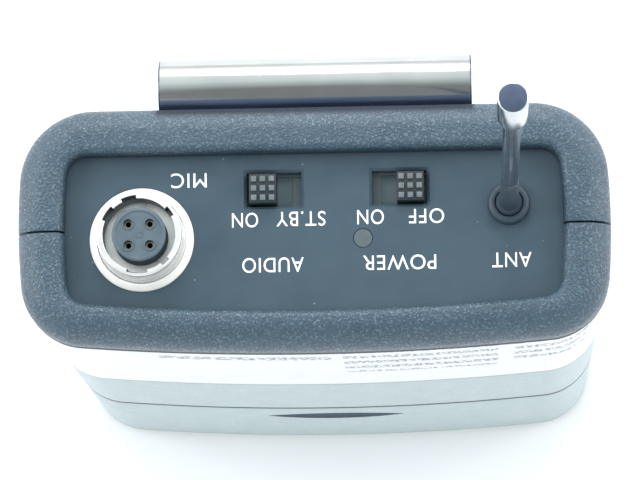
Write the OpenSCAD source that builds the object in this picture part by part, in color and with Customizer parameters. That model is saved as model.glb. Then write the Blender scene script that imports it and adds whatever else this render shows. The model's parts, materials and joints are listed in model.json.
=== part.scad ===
// Belt-pack transmitter for a lavalier microphone.
// Origin: centre of the base, on the surface it stands on. +Z runs up to the socket end,
// -Y is the grey front, +Y is the belt-clip side. Millimetres.

/* [Case] */
// Width across the two bowed sides
case_w = 64.8; // [63:0.1:68]
// Height of the case without socket and antenna
case_h = 92; // [90:1:104]
// From the centre plane to the flat back
back_y = 14; // [13.3:0.1:15]
// From the centre plane to the crown of the front
front_y = 13; // [12.6:0.1:14]
// Radius of the two upright corners at the front
corner_r = 7; // [6:0.25:7.5]
// Radius of the two upright corners at the back
back_corner_r = 8.25; // [7.5:0.25:9.5]
// Half angle of the shallow arc along the front
front_bow = 5; // [3:0.5:6]
// Half angle of the shallow arc along each side
side_bow = 5; // [3:0.5:6]
// Wall thickness of the black shells and the grey front
wall = 1.8; // [1.6:0.1:2]
// Where the front and rear shells meet
parting_y = 0.3; // [-0.5:0.1:1]

/* [Rim and panel] */
// How far the panel lies below the rim
panel_drop = 2.5; // [2:0.1:3]
// Thickness of the panel
panel_t = 1.5; // [1.2:0.1:2]
// Width of the well inside the rim
well_w = 54.4; // [53:0.2:55]
// From the centre plane to the well's rear edge
well_back_y = 8.7; // [8.5:0.1:9]
// From the centre plane to the crown of the well's front edge
well_front_y = 8.7; // [8.5:0.1:9]
// Height of the black collar at the front
collar_h = 6; // [5:0.25:7]
// How far the grey front sits inside the collar's edge
front_step = 0.4; // [0.2:0.05:0.6]

/* [Label and battery door] */
// Height of the white label
label_h = 30; // [20:1:34]
// Thickness of the label film
label_t = 0.15; // [0.1:0.05:0.25]
// Height of the door seam above the base
door_h = 31.4; // [31:0.1:34]
// Width of the thumb grip
grip_w = 17; // [14:0.5:20]
// Height of the thumb grip
grip_h = 5.6; // [4:0.2:7]
// Height of the grip's centre above the base
grip_z = 22.6; // [18:0.2:25]

/* [Microphone socket] */
// Place across the panel
socket_x = -18.8; // [-19.5:0.1:-18]
// Place along the panel's depth
socket_y = -0.5; // [-1:0.1:1]
// Barrel diameter
socket_d = 9.2; // [8.6:0.1:9.4]
// Height of the barrel above the panel
socket_h = 4.5; // [4:0.1:5.5]
// Outer diameter of the ring nut
nut_d = 11.4; // [11:0.1:11.8]
// Diameter of the contact insulator
insulator_d = 5.9; // [5.5:0.1:6.2]
// Spacing of the four contacts, centre to centre
contact_pitch = 2.33; // [2:0.05:2.6]

/* [Switches and lamp] */
// Width of a switch window
window_w = 6; // [5.6:0.1:6.4]
// Depth of a switch window
window_d = 3.75; // [3.6:0.05:4]
// Width of a switch knob
knob_w = 2.95; // [2.8:0.05:3.1]
// Depth of a switch knob
knob_d = 3.2; // [3:0.05:3.3]
// Travel of a switch knob
knob_travel = 2.4; // [2:0.1:2.4]
// Height of a knob's top above the panel
knob_rise = 1.2; // [0.8:0.1:1.6]
// Centre of the audio switch window, across the panel
audio_x = -4.3; // [-5:0.1:-4]
// Centre of the power switch window, across the panel
power_x = 9.4; // [9:0.1:10]
// Centre of both windows, along the panel's depth
switch_y = 4.85; // [4.5:0.05:5]
// Lamp diameter
lamp_d = 2.1; // [1.8:0.1:3]

/* [Antenna] */
// Place across the panel
antenna_x = 21.3; // [20.5:0.1:21.5]
// Place along the panel's depth
antenna_y = 2.75; // [2.5:0.05:3]
// Height of the antenna's tip above the rim
antenna_rise = 60.5; // [40:0.5:120]
// Sleeve diameter
sleeve_d = 1.8; // [1.4:0.1:1.8]
// Tip cap diameter
cap_d = 3; // [2.2:0.1:3]
// Tip cap length
cap_l = 9.5; // [6:0.5:12]

/* [Belt clip] */
// Width of the strip
clip_w = 34.4; // [30:0.2:38]
// Centre of the strip, across the back
clip_x = 0.3; // [-1:0.1:1]
// Strip thickness
clip_t = 0.8; // [0.7:0.05:0.9]
// Clear gap between the back and the free leg
clip_gap = 5.2; // [4.6:0.1:6]
// How far the bend's crown lies below the rim
clip_drop = 2; // [1.5:0.1:4]
// Length of the fixed leg
fixed_leg_l = 36; // [30:1:40]
// Length of the free leg
free_leg_l = 58; // [45:1:62]

/* [Hidden] */

$fn = 48;
skin = 0.01;              // thickness of the thin slabs that hulls join
slip = 0.2;               // gap between the sliding door and the case
fine = 0.02;              // gap round pins and screws
past = 1;                 // how far a cut runs past a face

panel_z = case_h - panel_drop;
panel_base_z = panel_z - panel_t;
collar_z = case_h - collar_h;
inner_top_z = collar_z + slip;                // underside of the rear shell's rim
floor_t = 2;                                  // end wall at the base
panel_margin = 1.5;                           // panel edge held in the shells' groove
well_r = corner_r - 4.8;                      // corner radius of the well
well_flare = 0.9;                             // the well's lip opens out by this much
well_flare_h = 1.2;
rim_profile = [[0, 3.4], [0.35, 1.9], [1.1, 0.8], [2, 0.2], [3, 0]];   // [inset, drop]

door_in = front_step + wall;                  // inner face of door and cover, from the outline
skirt_in = door_in + 0.05;                    // outer face of what lies behind the grey front
lip_in = door_in + slip;                      // outer face of the rear shell's door rails
rail_t = 1.6;
rail_end_y = -2.6;                            // front edge of the rails
rail_groove_y = [-1.8, -0.6];                 // the groove in each rail
rail_groove_depth = 0.8;
tongue_y = [-1.6, -0.8];                      // the door's tongues that run in the grooves
tongue_depth = 0.5;
front_end_y = parting_y - 0.05;               // where the collar and the front cover stop
web_depth = 2;                                // depth of the webs that carry the rails
skirt_z = 62;                                 // lower edge of the collar's inner skirt
skirt_t = 1.4;
label_end_y = -3;                             // the label stops here on both sides
grip_depth = 1.7;                             // depth of the door's lens-shaped pocket

screw_x = 25;
screw_top_z = 70;
screw_low_z = 38;
post_r = 3;
screw_r = 1.2;
screw_head_r = 2.1;
screw_head_t = 1.3;
screw_sink = 2.2;                             // depth of a head's underside below the back
screw_tip_y = -4.5;
pilot_y = 3.5 + door_in - front_y;            // blind end of the pilot holes

bend_r = clip_gap / 2 + clip_t;               // outer radius of the clip's bend
clip_in_y = back_y - clip_t;                  // the fixed leg lies flush in a pocket
bend_y = clip_in_y + bend_r;
bend_z = case_h - clip_drop - bend_r;
rivet_z = bend_z - fixed_leg_l + 6;
rivet_dx = 9;
rivet_r = 1.2;

socket_hole_r = 3.95;                         // the barrel's mouth, between its keyways
keyway_r = 4.3;
keyway_depth = 2;
keyways = [[105, 23], [146, 24], [36, 16], [267, 32], [313, 14]];   // [angle, span]
socket_stem_r = 4.85;                         // threaded stem below the barrel
socket_low_z = panel_base_z - 8;
socket_top_z = panel_z + socket_h;
socket_edge = 0.2;
nut_h = 0.65;
flange_t = 1.8;                               // the socket's flange under the panel
insulator_r = insulator_d / 2;
contact_r = 0.48;
contact_bore_r = 0.3;
contact_tail = 3;                             // solder tail below the insulator
contacts = [for (x = [-1, 1], y = [-1, 1]) [x, y] * contact_pitch / 2];

board_y = 3.5;                                // front face of the main board
board_t = 1.6;
board_top_z = 76;
board_low_z = 35.5;
board_half_w = 21.8;
board_screw_r = 0.9;
board_post_r = 2.2;
board_screw_xz = [for (x = [-19, 19], z = [39, 65]) [x, z]];
switch_board_z = panel_base_z - 5.2;          // underside of the switch board
switch_frame_z = switch_board_z + board_t;
frame_size = [9, 5, panel_base_z - switch_frame_z];
slot_size = [window_w + 0.6, window_d + 0.1];
slot_floor = 1.2;
stud = 0.72;                                  // raised squares on a knob
stud_h = 0.25;
stud_pitch = [0.98, 1.03];
lamp_x = 5.35;
lamp_y = -0.7;

pivot_z = panel_z + 0.7;                      // the antenna bends about this height
bush_h = 1.3;
bush_r = 2.32;
bush_hole_r = 1.55;
bush_stem_r = 2;
bush_flange_t = 0.8;
boot_r = 1.15;
boot_l = 16;
core_r = 0.35;
tip_z = case_h + antenna_rise;

battery_size = [48.5, 17.5, 26.5];
battery_min = [-27.4, -8.3, 3.4];
battery_mid = battery_min + battery_size / 2;
terminal_dz = 12.7 / 2;
terminal_l = 2.6;
snap_t = 2.2;
snap_x = battery_min[0] + battery_size[0] + terminal_l;
snap_h = 24;
lead_r = 0.5;
lead_y = board_y - lead_r - fine;
battery_lead_xz = [[24.2, 33, 19.3], [25.4, 34.2, 20.9]];   // [rise x, run height, end x]
lead_end_z = 36.5;
cradle_t = 1.2;
cradle_z = door_h + 0.9;                      // top of the battery bay's ceiling
back_in = back_y - wall;                      // inner face of the back

// [x, z, width, height, thickness] of the larger parts on the main board's front
chips = [[-14.5, 47, 8, 8, 1.6], [-14, 57.5, 6, 5, 1.5], [-4, 70, 9, 5, 1.6], [12, 70, 6, 4, 2.2]];
// [x, z] of the upright capacitors
capacitors = [[-12.5, 38.5], [-6, 38.5], [0.5, 38.5], [7, 38.5]];

// Points of an arc about c, from angle a0 to a1
function arc(c, r, a0, a1, n) =
    [for (i = [0:n]) c + r * [cos(a0 + (a1 - a0) * i / n), sin(a0 + (a1 - a0) * i / n)]];

// Rounded rectangle whose front and sides are shallow arcs that meet the corners smoothly
function bowed(half_w, y0, y1, r, back_r, inset) =
    let (
        tf = tan(front_bow / 2),
        ts = tan(side_bow / 2),
        x = (half_w - r - ts * (y1 - y0 - 2 * r) / 2) / (1 - ts * tf / 2),
        yf = y0 + r + x * tf,
        yr = y1 - r,
        half_l = (yr - yf) / 2,
        mid_y = (yf + yr) / 2,
        side_c = x - half_l / tan(side_bow),
        side_r = r + half_l / sin(side_bow),
        back_cy = y1 - back_r,
        back_cx = side_c + sqrt(pow(side_r - back_r, 2) - pow(back_cy - mid_y, 2)),
        back_a = atan2(back_cy - mid_y, back_cx - side_c),
        front_r = r + x / sin(front_bow) - inset,
        k = r - inset
    )
    concat(
        arc([x, yf], k, -90 + front_bow, -side_bow, 8),
        arc([side_c, mid_y], side_r - inset, -side_bow * 0.6, back_a * 0.6, 3),
        arc([back_cx, back_cy], back_r - inset, back_a, 90, 8),
        arc([-back_cx, back_cy], back_r - inset, 90, 180 - back_a, 8),
        arc([-side_c, mid_y], side_r - inset, 180 - back_a * 0.6, 180 + side_bow * 0.6, 3),
        arc([-x, yf], k, 180 + side_bow, 270 - front_bow, 8),
        arc([0, yf + x / tan(front_bow)], front_r, 270 - front_bow * 0.85,
            270 + front_bow * 0.85, 9)
    );

// Closed outline of a bent strip: its centre line, widened by t
function strip(p, t) =
    let (
        n = len(p) - 1,
        d = [for (i = [0:n]) let (v = p[min(i + 1, n)] - p[max(i - 1, 0)]) v / norm(v)],
        side = [for (v = d) [-v[1], v[0]] * t / 2]
    )
    concat([for (i = [0:n]) p[i] + side[i]], [for (i = [n:-1:0]) p[i] - side[i]]);

module case_slab(inset, z0, z1) {
    translate([0, 0, z0]) linear_extrude(z1 - z0)
        polygon(bowed(case_w / 2, -front_y, back_y, corner_r, back_corner_r, inset));
}

module well_slab(grow, z0, z1) {
    translate([0, 0, z0]) linear_extrude(z1 - z0)
        polygon(bowed(well_w / 2, -well_front_y, well_back_y, well_r, well_r, -grow));
}

// The whole case as a block from z0 up, its top edge rounded
module case_block(z0) {
    case_slab(0, z0, case_h - rim_profile[0][1]);
    for (i = [0:len(rim_profile) - 2]) hull()
        for (p = [rim_profile[i], rim_profile[i + 1]])
            case_slab(p[0], case_h - p[1] - skin, case_h - p[1]);
}

// A band of the case between two insets
module case_ring(in0, in1, z0, z1) {
    difference() {
        case_slab(in0, z0, z1);
        case_slab(in1, z0 - past, z1 + past);
    }
}

module depth_range(y0, y1) {
    translate([-case_w, y0, -past]) cube([2 * case_w, y1 - y0, case_h + 2 * past]);
}

// The well above the panel, the panel's groove and the opening below it
module well_cut() {
    well_slab(0, collar_z - past, case_h + past);
    well_slab(panel_margin, panel_base_z, panel_z);
    hull() {
        well_slab(0, case_h - well_flare_h, case_h - well_flare_h + skin);
        well_slab(well_flare, case_h, case_h + skin);
    }
}

// A cylinder along Y from y0 to y1
module rod_y(x, z, r, y0, y1) {
    translate([x, y0, z]) rotate([-90, 0, 0]) cylinder(r = r, h = y1 - y0);
}

module at_screws(z_list) {
    for (x = [-screw_x, screw_x], z = z_list) translate([x, 0, z]) children();
}

module rounded_block(size, r) {
    linear_extrude(size[2]) polygon(concat(
        arc([size[0] / 2 - r, -size[1] / 2 + r], r, -90, 0, 6),
        arc([size[0] / 2 - r, size[1] / 2 - r], r, 0, 90, 6),
        arc([-size[0] / 2 + r, size[1] / 2 - r], r, 90, 180, 6),
        arc([-size[0] / 2 + r, -size[1] / 2 + r], r, 180, 270, 6)));
}

// ---- case ----

module rear_shell() {
    color([0.16, 0.17, 0.18]) difference() {
        union() {
            difference() {
                intersection() {
                    case_block(0);
                    depth_range(parting_y, back_y + past);
                }
                case_slab(wall, floor_t, inner_top_z);
                well_cut();
            }
            case_slab(lip_in, 0, floor_t);
            rails();
            at_screws([screw_low_z, screw_top_z]) rod_y(0, 0, post_r, parting_y, back_in + 0.1);
            at_board_screws() rod_y(0, 0, board_post_r, board_y + board_t, back_in + 0.1);
        }
        at_board_screws() rod_y(0, 0, board_screw_r + fine, 0, board_y + board_t + 4.5);
        intersection() {
            case_ring(lip_in - past, lip_in + rail_groove_depth, -past, door_h - 2);
            depth_range(rail_groove_y[0], rail_groove_y[1]);
        }
        clip_pocket();
        at_screws([screw_low_z, screw_top_z]) {
            rod_y(0, 0, screw_r + 0.1, -past, back_y);
            rod_y(0, 0, screw_head_r + 0.15, back_y - screw_sink, back_y + past);
        }
    }
}

// Rails that the door slides on, the lips behind the front cover, and the webs that carry both
module rails() {
    lip_t = 1.15;
    intersection() {
        case_ring(lip_in, lip_in + rail_t, 0, door_h - 0.4);
        depth_range(rail_end_y, parting_y + web_depth);
    }
    intersection() {
        case_ring(skirt_in, skirt_in + lip_t, door_h + 2.4, skirt_z - 1);
        depth_range(-1.5, parting_y + web_depth);
    }
    intersection() {
        case_ring(wall - 0.1, lip_in + rail_t, 0, skirt_z - 1);
        depth_range(parting_y, parting_y + web_depth);
    }
}

// Pocket for the clip's fixed leg, open at the top where the bend comes out, with its rivet holes
module clip_pocket() {
    bend_clearance = 0.6;
    translate([clip_x - clip_w / 2 - fine, clip_in_y, bend_z - fixed_leg_l - fine])
        cube([clip_w + 2 * fine, 2 * bend_r, fixed_leg_l + bend_r - bend_clearance]);
    for (s = [-1, 1]) rod_y(clip_x + s * rivet_dx, rivet_z, rivet_r + fine, 0, back_y);
}

// A screw post that stands on the inside of the front, from inset out to the parting plane
module front_post(z, inset) {
    difference() {
        intersection() {
            at_screws([z]) rod_y(0, 0, post_r, -front_y, front_end_y);
            case_slab(inset, z - 2 * post_r, z + 2 * post_r);
        }
        at_screws([z]) rod_y(0, 0, screw_r + fine, pilot_y, back_y);
    }
}

module front_collar() {
    color([0.17, 0.18, 0.19]) {
        difference() {
            intersection() {
                case_block(collar_z);
                depth_range(-front_y - past, front_end_y);
            }
            well_cut();
        }
        difference() {
            intersection() {
                case_ring(skirt_in, skirt_in + skirt_t, skirt_z, collar_z + slip);
                depth_range(-front_y - past, front_end_y);
            }
            at_screws([screw_top_z]) rod_y(0, 0, screw_r + fine, pilot_y, back_y);
        }
        front_post(screw_top_z, skirt_in + 0.1);
    }
}

module front_cover() {
    color([0.75, 0.79, 0.79]) {
        intersection() {
            case_ring(front_step, door_in, door_h, collar_z);
            depth_range(-front_y - past, front_end_y);
        }
        front_post(screw_low_z, front_step + 0.1);
    }
}

module front_label() {
    color("white") intersection() {
        case_ring(front_step - label_t, front_step, collar_z - label_h, collar_z - 0.05);
        depth_range(-front_y - past, label_end_y);
    }
}

// A lens outline in XZ made by two arcs, as a block along Y
module lens_y(w, h, y0, y1) {
    r = (w * w + h * h) / (4 * h);
    translate([0, y0, 0]) rotate([-90, 0, 0]) intersection() {
        translate([0, r - h / 2, 0]) cylinder(r = r, h = y1 - y0, $fn = 160);
        translate([0, h / 2 - r, 0]) cylinder(r = r, h = y1 - y0, $fn = 160);
    }
}

module battery_door() {
    tongue_end = 3;
    color([0.75, 0.79, 0.79]) difference() {
        union() {
            intersection() {
                case_ring(front_step, door_in, 0, door_h - slip);
                depth_range(-front_y - past, parting_y - slip);
            }
            intersection() {
                case_ring(door_in - 0.1, lip_in + tongue_depth, tongue_end, door_h - tongue_end);
                depth_range(tongue_y[0], tongue_y[1]);
            }
        }
        translate([0, 0, grip_z])
            lens_y(grip_w, grip_h, -front_y - past, grip_depth - front_y);
    }
}

// Dark insert in the door's lens-shaped pocket, hollowed for a thumb
module door_grip() {
    hollow_r = 5;
    hollow_depth = 0.75;
    color([0.1, 0.11, 0.12]) difference() {
        intersection() {
            translate([0, 0, grip_z])
                lens_y(grip_w - 2 * fine, grip_h - 2 * fine, -front_y, grip_depth - front_y);
            case_slab(front_step, 0, door_h);
        }
        translate([-grip_w, front_step + hollow_depth - front_y - hollow_r, grip_z])
            rotate([0, 90, 0]) cylinder(r = hollow_r, h = 2 * grip_w);
    }
}

module top_panel() {
    color([0.13, 0.14, 0.15]) difference() {
        well_slab(panel_margin - 0.05, panel_base_z, panel_z);
        translate([socket_x, socket_y, 0]) cylinder(r = socket_stem_r + fine, h = case_h);
        for (x = [audio_x, power_x]) translate([x - window_w / 2, switch_y - window_d / 2, 0])
            cube([window_w, window_d, case_h]);
        translate([lamp_x, lamp_y, 0]) cylinder(d = lamp_d + 2 * fine, h = case_h);
        translate([antenna_x, antenna_y, 0]) cylinder(r = bush_stem_r + fine, h = case_h);
    }
}

// ---- microphone socket ----

module at_socket(z) {
    translate([socket_x, socket_y, z]) children();
}

// Threaded stem with a flange under the panel, and the barrel that a cable plug's sleeve goes over
module socket_barrel() {
    barrel_z = panel_z + nut_h + 0.1;
    mouth_floor_z = panel_base_z - 1.5;
    color([0.83, 0.82, 0.84]) difference() {
        union() {
            at_socket(socket_low_z) cylinder(r = socket_stem_r, h = barrel_z - socket_low_z);
            at_socket(panel_base_z - flange_t) cylinder(d = nut_d, h = flange_t);
            at_socket(barrel_z - 1)
                cylinder(d = socket_d, h = socket_top_z - socket_edge - barrel_z + 1);
            at_socket(socket_top_z - socket_edge)
                cylinder(d1 = socket_d, d2 = socket_d - 2 * 0.15, h = socket_edge);
        }
        at_socket(socket_low_z - past) cylinder(r = insulator_r + fine, h = case_h);
        at_socket(mouth_floor_z) cylinder(r = socket_hole_r, h = case_h);
        for (k = keyways) at_socket(socket_top_z - keyway_depth)
            rotate([0, 0, k[0] - k[1] / 2]) rotate_extrude(angle = k[1])
                translate([socket_hole_r - 0.3, 0]) square([keyway_r - socket_hole_r + 0.3, 4]);
    }
}

module socket_nut() {
    r = nut_d / 2;
    r_in = socket_stem_r + fine;
    color([0.86, 0.85, 0.86]) at_socket(panel_z) rotate_extrude()
        polygon([[r_in, 0], [r, 0], [r, 0.2], [r - 0.12, 0.32], [r_in + 0.2, nut_h],
                 [r_in, nut_h - 0.1]]);
}

module socket_insulator() {
    below_rim = 0.1;
    color([0.23, 0.25, 0.27]) at_socket(socket_low_z) difference() {
        cylinder(r = insulator_r, h = socket_top_z - below_rim - socket_low_z);
        for (c = contacts) translate([c[0], c[1], -past])
            cylinder(r = contact_r + fine, h = 40, $fn = 24);
    }
}

module socket_contacts() {
    below_rim = 0.9;
    bore_depth = 5;
    low_z = socket_low_z - contact_tail;
    color([0.75, 0.65, 0.4]) for (c = contacts) at_socket(0) translate(c) difference() {
        translate([0, 0, low_z])
            cylinder(r = contact_r, h = socket_top_z - below_rim - low_z, $fn = 24);
        translate([0, 0, socket_top_z - below_rim - bore_depth])
            cylinder(r = contact_bore_r, h = 30, $fn = 24);
    }
}

// One lead from each contact down and back to the main board
module socket_leads() {
    wire_r = 0.4;
    for_front = 5.5;      // how far down the leads of the front and rear contacts run
    for_rear = 3;
    color([0.6, 0.15, 0.12]) for (c = contacts) at_socket(socket_low_z - contact_tail)
        translate(c) {
            drop = c[1] < 0 ? for_front : for_rear;
            translate([0, 0, -drop]) cylinder(r = wire_r, h = drop, $fn = 16);
            translate([0, 0, -drop]) sphere(r = wire_r, $fn = 16);
            translate([0, 0, -drop]) rotate([-90, 0, 0])
                cylinder(r = wire_r, h = board_y - socket_y - c[1], $fn = 16);
        }
}

// ---- switches and lamp ----

module switch_frame(x) {
    color([0.2, 0.22, 0.26]) translate([x, switch_y, switch_frame_z]) difference() {
        translate([-frame_size[0] / 2, -frame_size[1] / 2, 0]) cube(frame_size);
        translate([-slot_size[0] / 2, -slot_size[1] / 2, slot_floor])
            cube([slot_size[0], slot_size[1], 10]);
    }
}

// side: -1 rests at the left end of its travel, 1 at the right
module switch_knob(x, side) {
    foot = 0.25;
    foot_h = 1;
    base_z = switch_frame_z + slot_floor + 0.1;
    stud_z = panel_z + knob_rise - stud_h;
    color([0.3, 0.33, 0.36]) translate([x + side * knob_travel / 2, switch_y, 0]) {
        translate([-knob_w / 2, -knob_d / 2, base_z]) cube([knob_w, knob_d, stud_z - base_z]);
        translate([-knob_w / 2 - foot, -knob_d / 2, base_z]) cube([knob_w + 2 * foot, knob_d, foot_h]);
        for (i = [-1:1], j = [-1:1])
            translate([i * stud_pitch[0] - stud / 2, j * stud_pitch[1] - stud / 2, stud_z - skin])
                cube([stud, stud, stud_h + skin]);
    }
}

module power_lamp() {
    color([0.42, 0.46, 0.48]) translate([lamp_x, lamp_y, switch_frame_z]) {
        cylinder(d = lamp_d + 0.6, h = 0.8);
        cylinder(d = lamp_d, h = panel_z - switch_frame_z);
    }
}

module switch_board() {
    color([0.1, 0.35, 0.2]) translate([-10.8, -3, switch_board_z]) cube([27, 10.8, board_t]);
}

// ---- antenna ----

module at_antenna(z) {
    translate([antenna_x, antenna_y, z]) children();
}

module antenna_collar() {
    flange_r = bush_r + 0.3;
    top = panel_z + bush_h;
    color([0.15, 0.16, 0.17]) at_antenna(0) rotate_extrude()
        polygon([[bush_hole_r, panel_base_z - bush_flange_t], [flange_r, panel_base_z - bush_flange_t],
                 [flange_r, panel_base_z], [bush_stem_r, panel_base_z], [bush_stem_r, panel_z],
                 [bush_r, panel_z], [bush_r, top - 0.55], [bush_r - 0.12, top - 0.25],
                 [bush_r - 0.38, top], [bush_hole_r + 0.1, top], [bush_hole_r, top - 0.1]]);
}

module antenna_feed() {
    feed_r = 0.7;
    lug_z = 70;
    color([0.8, 0.68, 0.4]) {
        at_antenna(lug_z + 2) cylinder(r = feed_r, h = panel_z - bush_flange_t - lug_z - 2);
        translate([board_half_w - 1.5, antenna_y - 0.3, lug_z])
            cube([1.5, board_y - antenna_y + 0.3, 4]);
    }
}

module antenna_boot() {
    color([0.14, 0.15, 0.16]) at_antenna(pivot_z) difference() {
        union() {
            sphere(r = boot_r);
            cylinder(r1 = boot_r, r2 = sleeve_d / 2 + 0.12, h = boot_l);
        }
        translate([0, 0, 1]) cylinder(d = sleeve_d + 2 * fine, h = boot_l);
    }
}

module antenna_sleeve() {
    into_cap = 1.5;
    color([0.12, 0.13, 0.14]) at_antenna(pivot_z + 1) difference() {
        cylinder(d = sleeve_d, h = tip_z - cap_l + into_cap - pivot_z - 1);
        translate([0, 0, -past]) cylinder(r = core_r + fine, h = antenna_rise + 10, $fn = 24);
    }
}

module antenna_core() {
    color([0.7, 0.7, 0.72]) at_antenna(pivot_z + 1)
        cylinder(r = core_r, h = tip_z - 3 - pivot_z - 1, $fn = 24);
}

module antenna_cap() {
    edge = 0.25;
    color([0.78, 0.79, 0.8]) at_antenna(tip_z - cap_l) difference() {
        union() {
            cylinder(d = cap_d, h = cap_l - edge);
            translate([0, 0, cap_l - edge]) cylinder(d1 = cap_d, d2 = cap_d - 2 * edge, h = edge);
        }
        translate([0, 0, -past]) cylinder(d = sleeve_d + 2 * fine, h = 1.5 + past + 0.1);
        cylinder(r = core_r + fine, h = cap_l - 2.9, $fn = 24);
    }
}

// ---- belt clip ----

module belt_clip() {
    color([0.7, 0.71, 0.72]) difference() {
        translate([clip_x - clip_w / 2, 0, 0]) {
            translate([0, clip_in_y, bend_z - fixed_leg_l]) cube([clip_w, clip_t, fixed_leg_l]);
            intersection() {
                translate([0, bend_y, bend_z]) rotate([0, 90, 0]) difference() {
                    cylinder(r = bend_r, h = clip_w);
                    translate([0, 0, -past]) cylinder(r = bend_r - clip_t, h = clip_w + 2 * past);
                }
                translate([-past, bend_y - bend_r - past, bend_z])
                    cube([clip_w + 2 * past, 2 * (bend_r + past), bend_r + past]);
            }
        }
        for (s = [-1, 1])
            rod_y(clip_x + s * rivet_dx, rivet_z, rivet_r + fine, 0, back_y + past);
    }
}

// Free leg: straight, then leaning in to grip, then flared at the tip
module belt_clip_leg() {
    mid = bend_y + bend_r - clip_t / 2;
    lean = 2.4;
    flare = 2.2;
    route = [[mid, bend_z], [mid, bend_z - free_leg_l * 0.4],
             [mid - 0.12, bend_z - free_leg_l * 0.45],
             [mid - lean + 0.12, bend_z - free_leg_l * 0.84],
             [mid - lean, bend_z - free_leg_l * 0.87],
             [mid - lean + 0.2, bend_z - free_leg_l * 0.9],
             [mid - lean + flare, bend_z - free_leg_l]];
    color([0.72, 0.73, 0.74]) intersection() {
        translate([clip_x - clip_w / 2, 0, 0]) rotate([90, 0, 90]) linear_extrude(clip_w)
            polygon(strip(route, clip_t));
        translate([clip_x, back_y + 20, bend_z - free_leg_l / 2 + 1]) rotate([90, 0, 0])
            rounded_block([clip_w + skin, free_leg_l + 4, 30], 6);
    }
}

module clip_rivets() {
    color([0.6, 0.61, 0.62]) for (s = [-1, 1])
        rod_y(clip_x + s * rivet_dx, rivet_z, rivet_r, back_y - wall - 0.8, back_y);
}

module case_screws() {
    color([0.45, 0.46, 0.48]) at_screws([screw_low_z, screw_top_z]) {
        head_y = back_y - screw_sink;
        difference() {
            rod_y(0, 0, screw_head_r, head_y, head_y + screw_head_t);
            for (a = [0, 90]) translate([0, head_y + screw_head_t, 0]) rotate([0, a, 0])
                cube([2.4, 1.4, 0.5], center = true);
        }
        rod_y(0, 0, screw_r, screw_tip_y, head_y);
    }
}

// ---- electronics ----

module at_board_screws() {
    for (p = board_screw_xz) translate([p[0], 0, p[1]]) children();
}

module main_board() {
    color([0.1, 0.38, 0.2]) difference() {
        translate([-board_half_w, board_y, board_low_z])
            cube([2 * board_half_w, board_t, board_top_z - board_low_z]);
        at_board_screws() rod_y(0, 0, board_screw_r + 0.1, 0, back_y);
    }
}

module board_screws() {
    head_r = 1.7;
    head_t = 1.1;
    color([0.6, 0.6, 0.62]) at_board_screws() {
        rod_y(0, 0, board_screw_r, board_y, board_y + board_t + 4);
        rod_y(0, 0, head_r, board_y - head_t, board_y);
    }
}

// A sheet-metal can, open towards the board
module rf_shield() {
    size = [24, 4, 22];
    sheet = 0.4;
    color([0.75, 0.76, 0.78]) translate([-8, board_y - size[1], 42]) difference() {
        cube(size);
        translate([sheet, sheet, sheet]) cube([size[0] - 2 * sheet, size[1], size[2] - 2 * sheet]);
    }
}

module board_parts() {
    capacitor_r = 2.4;
    capacitor_l = 5.5;
    color([0.12, 0.12, 0.13]) {
        for (c = chips)
            translate([c[0] - c[2] / 2, board_y - c[4], c[1] - c[3] / 2]) cube([c[2], c[4], c[3]]);
        for (c = capacitors) rod_y(c[0], c[1], capacitor_r, board_y - capacitor_l, board_y);
    }
}

// Small blue trimmer with a screwdriver slot
module gain_trimmer() {
    size = [5.6, 3, 5];
    slot = [0.6, 0.8, 3];
    color([0.2, 0.35, 0.65]) translate([10.4, board_y - size[1], 36]) difference() {
        cube(size);
        translate([(size[0] - slot[0]) / 2, -skin, (size[2] - slot[2]) / 2]) cube(slot);
    }
}

// Stands on the main board's top edge and carries the switch board
module board_header() {
    color([0.85, 0.8, 0.55]) translate([-6, board_y, board_top_z])
        cube([16, board_t, switch_board_z - board_top_z]);
}

// ---- battery bay ----

// Ceiling and back plate of the battery bay
module battery_cradle() {
    ceiling_end_y = -8.4;
    half_w = 27.6;
    plate_w = 52;
    plate_t = 1.3;
    color([0.3, 0.31, 0.33]) difference() {
        union() {
            intersection() {
                case_slab(wall + 0.6, cradle_z - cradle_t, cradle_z);
                translate([-half_w, ceiling_end_y, 0])
                    cube([2 * half_w, back_in - 0.6 - ceiling_end_y, cradle_z]);
            }
            translate([-plate_w / 2, back_in - 0.6 - plate_t, floor_t + 0.1])
                cube([plate_w, plate_t, cradle_z - floor_t - 0.5]);
        }
        for (p = battery_lead_xz) translate([p[0], lead_y, 0])
            cylinder(r = lead_r + 0.15, h = case_h);
    }
}

module battery() {
    color([0.2, 0.22, 0.3]) translate(battery_mid)
        rotate([0, 90, 0]) translate([0, 0, -battery_size[0] / 2])
            rounded_block([battery_size[2], battery_size[1], battery_size[0]], 2);
}

module battery_terminals() {
    stud_r = 2.9;
    cup_r = 4.2;
    color([0.8, 0.8, 0.8]) for (s = [-1, 1])
        translate([snap_x - terminal_l, battery_mid[1], battery_mid[2] + s * terminal_dz])
            rotate([0, 90, 0]) cylinder(r = s < 0 ? stud_r : cup_r, h = terminal_l);
}

module battery_snap() {
    snap_w = 13;
    color([0.15, 0.15, 0.16])
        translate([snap_x, battery_mid[1] - snap_w / 2, battery_mid[2] - snap_h / 2])
            cube([snap_t, snap_w, snap_h]);
}

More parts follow.
